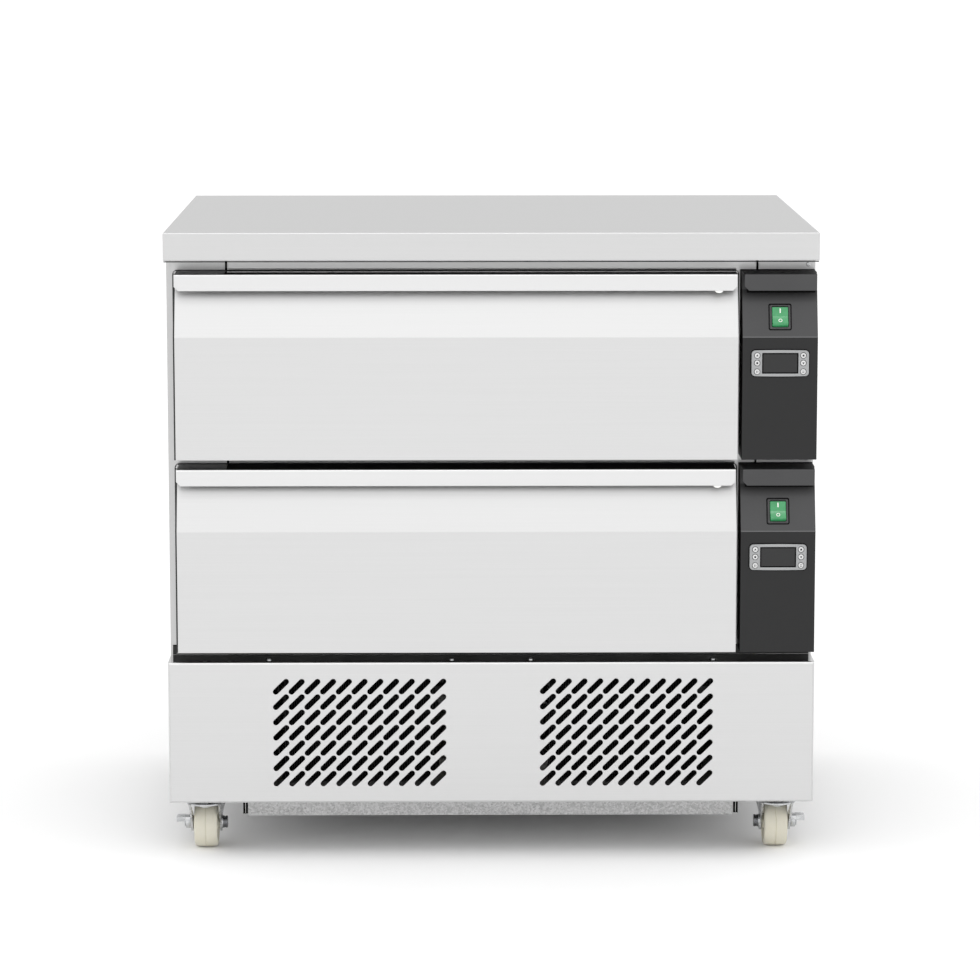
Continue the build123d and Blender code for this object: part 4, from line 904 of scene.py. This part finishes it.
# %% Trees for fins and drawn tubes
fin_rows, add, given = new_tree("fin_rows", Count="Int", Pitch="Float", Thickness="Float", Depth="Float",
    Height="Float")
fin_size = add("CombineXYZ", {"X": given["Thickness"], "Y": given["Depth"], "Z": given["Height"]})
one_fin = add("MeshCube", {"Size": fin_size})
gaps = add("Math", (given["Count"], 1.0), "SUBTRACT")
half_gaps = add("Math", (gaps, -0.5), "MULTIPLY")
first_fin = add("Math", (half_gaps, given["Pitch"]), "MULTIPLY")
row_start = add("CombineXYZ", {"X": first_fin})
row_step = add("CombineXYZ", {"X": given["Pitch"]})
row_line = add("MeshLine", {"Count": given["Count"], "Start Location": row_start, "Offset": row_step},
    mode="OFFSET")
one_row = add("InstanceOnPoints", {"Points": row_line, "Instance": one_fin})
all_rows = add("InstanceOnPoints", {"Points": given["Shape"], "Instance": one_row})
end_tree(add, given, all_rows)

drawn_tubes, add, given = new_tree("drawn_tubes", Radius="Float", Bend="Float")
route = add("MeshToCurve", {0: given["Shape"]})
bent = add("FilletCurve", {"Curve": route, "Count": 6, "Radius": given["Bend"]}, mode="POLY")
section = add("CurvePrimitiveCircle", {"Resolution": 12, "Radius": given["Radius"]})
tube = add("CurveToMesh", {"Curve": bent, "Profile Curve": section, "Fill Caps": True})
end_tree(add, given, tube)

# %% Condensers and evaporators
CIRCUITS = (-186.0, 186.0)
CONDENSER_Y, CONDENSER_FINS, EVAPORATOR_FINS = -278.0, 62, 100
OPENING_MIDDLE, EVAPORATOR_Y, EVAPORATOR_DROP = -48.5, 282.0, 128.5


def tube_run(routes, radius, bend, finish):
    """Round tubes along the routes given, as a mesh in millimetres."""
    return grow(drawn_tubes, start_mesh(routes), finish, Radius=radius, Bend=bend)


def finned_block(places, finish, count, pitch, depth, half_width):
    """A row of fins on each place given, between two end plates."""
    block = bmesh.new()
    rows = start_mesh([[place] for place in places])
    block.from_mesh(grow(fin_rows, rows, finish, Count=count, Pitch=pitch, Thickness=0.4, Depth=depth,
        Height=148.0))
    for x, y, z in places:
        for end_x in (x - half_width, x + half_width):
            slab(block, oblong(depth + 1, 150, 1.5, 2), MOVE((end_x, y, z)) @ SIDEWAYS, -0.8, 0.8, 0.2)
    return block


condenser_places = [(x, CONDENSER_Y, 175) for x in CIRCUITS]
# The condenser fins and tubes are black: partly their coat, partly painted shade for the dark compartment
# behind the slots
condensers = finned_block(condenser_places, "black_enamel", CONDENSER_FINS, 3.3, 43.0, 103.7)
hairpins = [[(x + (108 if (turn + 1) // 2 % 2 else -114), CONDENSER_Y, 112 + 21 * (turn // 2))
    for turn in range(1, 13)] for x in CIRCUITS]
condensers.from_mesh(tube_run(hairpins, 4.0, 9.0, "black_enamel"))
put_piece("condenser_fins", condensers, "cabinet", "black_enamel", "condensers")

evaporator_places = [(OPENING_MIDDLE, EVAPORATOR_Y, top - EVAPORATOR_DROP) for top in TIERS.values()]
evaporators = finned_block(evaporator_places, "fin_aluminium", EVAPORATOR_FINS, 5.0, 35.0, 248)
put_piece("evaporator_fins", evaporators, "cabinet", "fin_aluminium", "evaporators")
print("fins in a condenser:", CONDENSER_FINS, "in an evaporator:", EVAPORATOR_FINS)

# %% Pipes
POT_TOP, PIPE_TOP, BODY_BOTTOM = 201.2, 261.4, 281.4
COMPRESSOR_Y = 60.0
discharge, suction = [], []
pipes = bmesh.new()
for centre_x in CIRCUITS:
    entry_x = centre_x + 104.5
    discharge.append([(centre_x, COMPRESSOR_Y, POT_TOP - 4), (centre_x, COMPRESSOR_Y, PIPE_TOP),
        (entry_x + 20, COMPRESSOR_Y, PIPE_TOP), (entry_x + 20, -200, PIPE_TOP)])
    suction.append([(entry_x + 20, -202, PIPE_TOP), (entry_x + 20, CONDENSER_Y, PIPE_TOP),
        (entry_x + 20, CONDENSER_Y, 234)])
    suction.append([(centre_x - 66, COMPRESSOR_Y, 141), (centre_x - 102, COMPRESSOR_Y, 141),
        (centre_x - 102, COMPRESSOR_Y, BODY_BOTTOM)])
    slab(pipes, oblong(24, 14, 2), MOVE((entry_x + 14, CONDENSER_Y, 229)) @ SIDEWAYS, -13.2, 14, 1.0)
# Black sleeves on the suction pipes: insulation, and painted shade behind the slots
pipes.from_mesh(tube_run(suction, 4.6, 12.0, "black_plastic"))
put_piece("sleeved_pipes", pipes, "cabinet", "copper_pipe", "refrigerant_pipes", finish="black_plastic")
copper = bmesh.new()
copper.from_mesh(tube_run(discharge, 4.0, 12.0, "copper_pipe"))
put_piece("copper_pipes", copper, "cabinet", "copper_pipe")
print("pipe runs:", len(discharge) + len(suction))

# %% [markdown]
# ## Compressors and fans
#
# A compressor is a pot pressed in two halves and welded round its belly, on rubber feet, so
# a turned profile suits it. A fan blade is a thin curved section that leans back along its
# length and turns flatter towards the tip, so it is lofted from sections.

# %% Turned pots
pots = bmesh.new()
pot_profile = ((20, 51.5), (46, 52), (60, 57), (67, 66), (70, 78), (70, 118), (72.5, 119), (72.5, 122),
    (70, 123), (70, 160), (68, 172), (62, 183), (51, 192), (36, 198), (18, 201), (4, 201.5))
for centre_x in CIRCUITS:
    pot_place = MOVE((centre_x, COMPRESSOR_Y, 0))
    turned(pots, pot_profile, pot_place, 48)
    slab(pots, oblong(180, 130, 14), pot_place, 48.2, 51.2, 0.6)
    for foot_x in (-75, 75):
        for foot_y in (-50, 50):
            foot_place = pot_place @ MOVE((foot_x, foot_y, 0))
            turned(pots, ((11, 40.3), (12, 41.3), (9, 43.5), (9, 45.5), (11, 47.2), (11, 48.1)), foot_place,
                24)
            turned(pots, ((6, 51.3), (6, 53), (3.2, 53.2), (3.2, 58)), foot_place, 16)
    slab(pots, oblong(34, 50, 4), pot_place @ MOVE((82, 0, 0)), 101, 161, 1.5)
put_piece("compressor_pots", pots, "cabinet", "black_enamel", "compressors")
print("compressors:", len(CIRCUITS))

# %% Lofted blades
FAN_HEIGHT, FAN_Y, FAN_RADIUS, FAN_BLADES = 183.0, -242.0, 66.0, 5


def blade_ring(place, reach):
    """A curved section of a blade, at a reach from 0 at the hub to 1 at the tip."""
    radius, chord, pitch = 13 + reach * (FAN_RADIUS - 14), 25 + 12 * reach, radians(36 - 16 * reach)
    bulges = [(s, 3.4 * (1 - 4 * s * s)) for s in (-0.5, -0.3, -0.1, 0.1, 0.3, 0.5)]
    outline = [(s, bulge + 0.7) for s, bulge in bulges] + [(s, bulge - 0.7) for s, bulge in bulges[::-1]]
    ring = []
    for s, height in outline:
        along = s * chord * cos(pitch) - height * sin(pitch)
        out = s * chord * sin(pitch) + height * cos(pitch)
        turn_back = along / radius - 0.25 * reach ** 2
        ring.append(place @ Vector((radius * cos(turn_back), radius * sin(turn_back), out)))
    return ring


for side_name, centre_x in zip(("left", "right"), CIRCUITS):
    fan = bmesh.new()
    fan_place = MOVE((centre_x, FAN_Y, FAN_HEIGHT)) @ FRONTWARDS
    turned(fan, ((4.1, -8), (14.5, -8), (16, -6.5), (16, 5.5), (14, 7.6), (4.1, 8)), fan_place, 32,
        ends="joined")
    for blade in range(FAN_BLADES):
        blade_place = fan_place @ Matrix.Rotation(2 * pi * blade / FAN_BLADES, 4, "Z")
        loft(fan, [blade_ring(blade_place, reach / 5) for reach in range(6)])
    put_piece(f"{side_name}_fan_blades", fan, f"{side_name}_fan", "black_plastic", f"{side_name}_fan")
print("blades:", len(CIRCUITS) * FAN_BLADES)

# %% [markdown]
# ## Small pieces on the front
#
# A half-round white plug sits under the right end of each lip. Black strips are painted shade:
# they fill the thin slots over the drawers and the control panels, the seams of the face frame,
# the edge under the worktop and the shade under the black lips, where they read as dark lines
# between the sheets. Folds of bright sheet stand beside them. Black strips on the drawers'
# flanges paint the dark reflection there. A black strip and sheet behind the grille's ledge,
# and black strips at the ends of the base tray, paint the shade there. A black band round each
# drawer front and a black edging at the left end of each front paint the shade in the gap
# round the fronts. Two small blind plugs close holes in the grille's ledge.

# %% Lip plugs and dark strips
for tier, top in TIERS.items():
    plug = bmesh.new()
    half_round = [Vector((5.5 * cos(a), 3.2 * sin(a))) for a in (pi + pi * i / 16 for i in range(17))]
    slab(plug, half_round + [Vector((5.5, 3)), Vector((-5.5, 3))],
        MOVE((312.5, FRONT + 4, top - LIP_HEIGHT)) @ FRONTWARDS, 0.2, 3.8, 0.3)
    put_piece(f"{tier}_lip_plug", plug, f"{tier}_drawer", "cream_nylon", finish="white_nylon")
strips, folds, base_seal = bmesh.new(), bmesh.new(), bmesh.new()


def facing_bar(bm, width, height, x, z, low, high, ease, radius=0.3):
    """An upright bar in front of the plane low, in millimetres from the middle to the front."""
    slab(bm, shifted(oblong(width, height, radius, 2), x, z), FRONTWARDS, low, high, ease)


RAIL_FACE = 290.0
SLOT_MIDDLE, SLOT_LENGTH = -13.8, 707
FRAME_LOW, FRAME_HIGH, TRAY_WIDTH = 282, 841, 894
# Black strips paint the shade in the slots over the drawers and over the control panels
for top in TIERS.values():
    facing_bar(strips, SLOT_LENGTH, 1.1, SLOT_MIDDLE, top + 0.6, 277, RAIL_FACE - 0.4, 0.1)
    facing_bar(folds, SLOT_LENGTH, 1.3, SLOT_MIDDLE, top + 1.8, 277, RAIL_FACE - 0.2, 0.1)
    facing_bar(strips, 103.4, 6, CONTROL_X, top - 1.8, RAIL_FACE + 0.1, RAIL_FACE + 1.5, 0.2, 0.5)
    # A black strip under each black lip is painted shade
    lip_shade_place = slope_place(top, LIP_HEIGHT + 0.6, CONTROL_X + 1.8)
    slab(strips, oblong(94.5, 8.4, 0.5, 2), lip_shade_place, -0.1, 0.3, 0.1)
LEFT_SEAM, RIGHT_SEAM = -367.0, 369.5
seams = ((LEFT_SEAM, FRAME_LOW, 320), (LEFT_SEAM, 528, 590.5), (LEFT_SEAM, 798.5, FRAME_HIGH),
    (RIGHT_SEAM, FRAME_LOW, FRAME_HIGH))
# Black strips paint the shade in the seams of the face frame
for seam_x, seam_low, seam_high in seams:
    length, middle_z = seam_high - seam_low, (seam_low + seam_high) / 2
    facing_bar(strips, 3.0, length, seam_x, middle_z, RAIL_FACE - 1, RAIL_FACE + 0.15, 0.05, 0.2)
    for fold_x in (seam_x - 2.4, seam_x + 2.4):
        slab(folds, shifted(oblong(1.6, length, 0.5, 3), fold_x, middle_z), FRONTWARDS, RAIL_FACE - 0.5,
            RAIL_FACE + 0.2, 0.15)
# A black strip under the worktop's edge is painted shade
facing_bar(strips, 898, 1.2, 0, 840.5, 350.6, 353.0, 0.2)
# A black strip and a black sheet behind the grille's ledge paint the shade there
facing_bar(strips, TRAY_WIDTH, 1.3, 0, 294.9, RAIL_FACE + 0.05, RAIL_FACE + 1.2, 0.1)
facing_bar(base_seal, TRAY_WIDTH, 12.6, 0, 288.0, RAIL_FACE + 0.05, RAIL_FACE + 1.2, 0.2, 0.5)
# Black strips at the ends of the base tray are painted shade
for end_x in (-349.6, 349.6):
    facing_bar(strips, 6.6, 55, end_x, 69.5, 243.5, 246.0, 0.3, 0.6)
    facing_bar(folds, 1.0, 53, end_x, 69.5, 245.9, 246.4, 0.1)
print("seams:", len(seams))

# %% Painted shade on the drawers' flanges
FLANGE_BACK, FLANGE_FRONT = 294.0, 346.5
flange_shade_backs = {"upper": 323.0, "lower": FLANGE_BACK}
for tier, top in TIERS.items():
    # Black strips on the drawers' flanges paint the dark reflection there
    flange_shade_parts = (("wiper", -366.7, 338, flange_shade_backs[tier], "seal_rubber"),
        ("wiper_end", -435, -366.9, FLANGE_BACK, None))
    for part, left, right, back, flange_shade_finish in flange_shade_parts:
        wiper = bmesh.new()
        outline = oblong(right - left, FLANGE_FRONT - back, 0.6, 3)
        slab(wiper, shifted(outline, (left + right) / 2, -(FLANGE_FRONT + back) / 2), MOVE((0, 0, 0)),
            top - 0.1, top + 0.25, 0.1)
        put_piece(f"{tier}_{part}", wiper, f"{tier}_drawer", "black_plastic", finish=flange_shade_finish)

# The black sheet behind the ledge is painted shade
put_piece("base_seal", base_seal, "cabinet", "black_plastic")
# All these black strips are painted shade
put_piece("breaker_strips", strips, "cabinet", "black_plastic", finish="seal_rubber")
put_piece("seam_folds", folds, "cabinet", "front_stainless")
# The strips on the flanges are painted shade
print("wiper strips:", 2 * len(flange_shade_parts))

# %% Painted shade round the drawer fronts, and ledge plugs
GAP_SHADE_LEFT, GAP_SHADE_RIGHT, GAP_SHADE_RISE, GAP_SHADE_DROP = -441.5, 344.0, 1.1, 252.0
for tier, top in TIERS.items():
    gap_shade_height = GAP_SHADE_RISE + GAP_SHADE_DROP
    outer = shifted(oblong(GAP_SHADE_RIGHT - GAP_SHADE_LEFT, gap_shade_height, 7.0),
        (GAP_SHADE_LEFT + GAP_SHADE_RIGHT) / 2, top + GAP_SHADE_RISE - gap_shade_height / 2)
    inner = inset(outer, 12.0)
    # A black band round each drawer front, in the gap behind it, is painted shade
    lip = bmesh.new()
    lip_rings = ((inner, 290.5), (inset(outer, 0.4), 290.5), (outer, 291.2), (outer, 292.4),
        (inset(outer, 0.6), 293.0), (inner, 293.0))
    loft(lip, [lift(FRONTWARDS, outline, level) for outline, level in lip_rings], ends="joined")
    put_piece(f"{tier}_gasket_lip", lip, f"{tier}_drawer", "grey_gasket", finish="black_plastic")
    # A black edging at the left end of each front is painted shade
    end_shade = bmesh.new()
    section_corners = ((-437.7, -0.4), (-435.6, -0.4), (-435.6, 0.12), (-437.7, 0.12))
    bends = ((257.0, 350.0), (CREASE_DROP, 350.0), (1.0, 322.4))
    loft(end_shade, [[Vector((x, -depth - proud, top - drop)) for x, proud in section_corners] for drop,
        depth in bends])
    put_piece(f"{tier}_edging", end_shade, f"{tier}_drawer", "grey_gasket", finish="black_plastic")
ledge_plugs = bmesh.new()
for plug_x in (-399, -365):
    turned(ledge_plugs, ((2.6, 280.9), (2.6, 281.6), (2.2, 281.75), (1.0, 281.78)), MOVE((plug_x, -341, 0)),
        16)
put_piece("ledge_plugs", ledge_plugs, "cabinet", "black_plastic")
# The bands round the fronts are painted shade
print("gasket lips", gap_shade_height, "mm high")

# %% [markdown]
# ## The studio
#
# The photograph is a bright product shot: a white floor that runs into a white background,
# light from all round, and a soft grey shadow that stays under the object. The floor is a
# large matt plane. The world stands for the white walls and ceiling, a little brighter in
# front and overhead than behind. A broad softbox hangs high in front.

# %% Floor, sky and softbox
floor_mesh = bpy.data.meshes.new("floor")
floor_mesh.from_pydata([(-40, -40, 0), (40, -40, 0), (40, 60, 0), (-40, 60, 0)], [], [(0, 1, 2, 3)])
add, shader, place = new_finish("studio_floor")
floor_cloud = add("TexNoise", {"Vector": place, "Scale": 3.0})
floor_tone = add("Mix", {0: floor_cloud, MIX_A: "#f8f8f8", MIX_B: "#fafafa"}, data_type="RGBA")
set_inputs(shader, {"Base Color": floor_tone, "Roughness": 0.9, "Specular IOR Level": 0.0,
    "Emission Color": (1.0, 1.0, 1.0, 1.0), "Emission Strength": 0.015})
floor_mesh.materials.append(finishes["studio_floor"])
new_object("floor", floor_mesh)

world = bpy.data.worlds.new("white_studio")
bpy.context.scene.world = world
world.use_nodes = True
add = partial(add_node, world.node_tree)
direction = add("SeparateXYZ", (add("TexCoord").outputs["Generated"],))
from_front = add("MapRange", (direction.outputs[1], -1.0, 1.0, 1.19, 0.75))
from_above = add("MapRange", (direction.outputs[2], 0.0, 1.0, 0.0, 0.27))
all_round = add("Math", (from_front, from_above), "ADD")
seen = add("LightPath")
strength = add("Mix", {0: seen.outputs["Is Camera Ray"], 2: all_round, 3: 1.0}, data_type="FLOAT")
set_inputs(world.node_tree.nodes["Background"], {"Color": (1.0, 1.0, 1.0, 1.0), "Strength": strength})


def softbox(name, size, power, place, target):
    light = bpy.data.lights.new(name, "AREA")
    light.shape, light.size, light.size_y, light.energy = "RECTANGLE", size[0], size[1], power
    lamp = new_object(name, light)
    lamp.location = place
    lamp.rotation_euler = (Vector(target) - Vector(place)).to_track_quat("-Z", "Y").to_euler()


softbox("front_softbox", (4.0, 2.0), 60.0, (0.0, -4.5, 6.0), (0.0, -4.0, 0.0))
bpy.context.scene.view_settings.view_transform = "Standard"
print("studio ready")

# %% [markdown]
# ## The camera
#
# The photograph was taken with a long lens from straight ahead, a little above the worktop.
# Its place and angle were worked out from the corners of the counter.

# %% The camera
FOCAL_PIXELS, PICTURE_WIDTH = 3856.0, 980.0
camera_data = bpy.data.cameras.new("camera")
camera_data.sensor_width = 36.0
camera_data.lens = FOCAL_PIXELS / PICTURE_WIDTH * camera_data.sensor_width
camera_data.clip_end = 200.0
camera = new_object("camera", camera_data)
camera.location = (-0.0563, -5.6207, 1.3173)
camera.rotation_euler = (radians(90 - 8.56), 0.0, radians(-0.59))
bpy.context.scene.camera = camera
print("lens", round(camera_data.lens, 2), "mm")
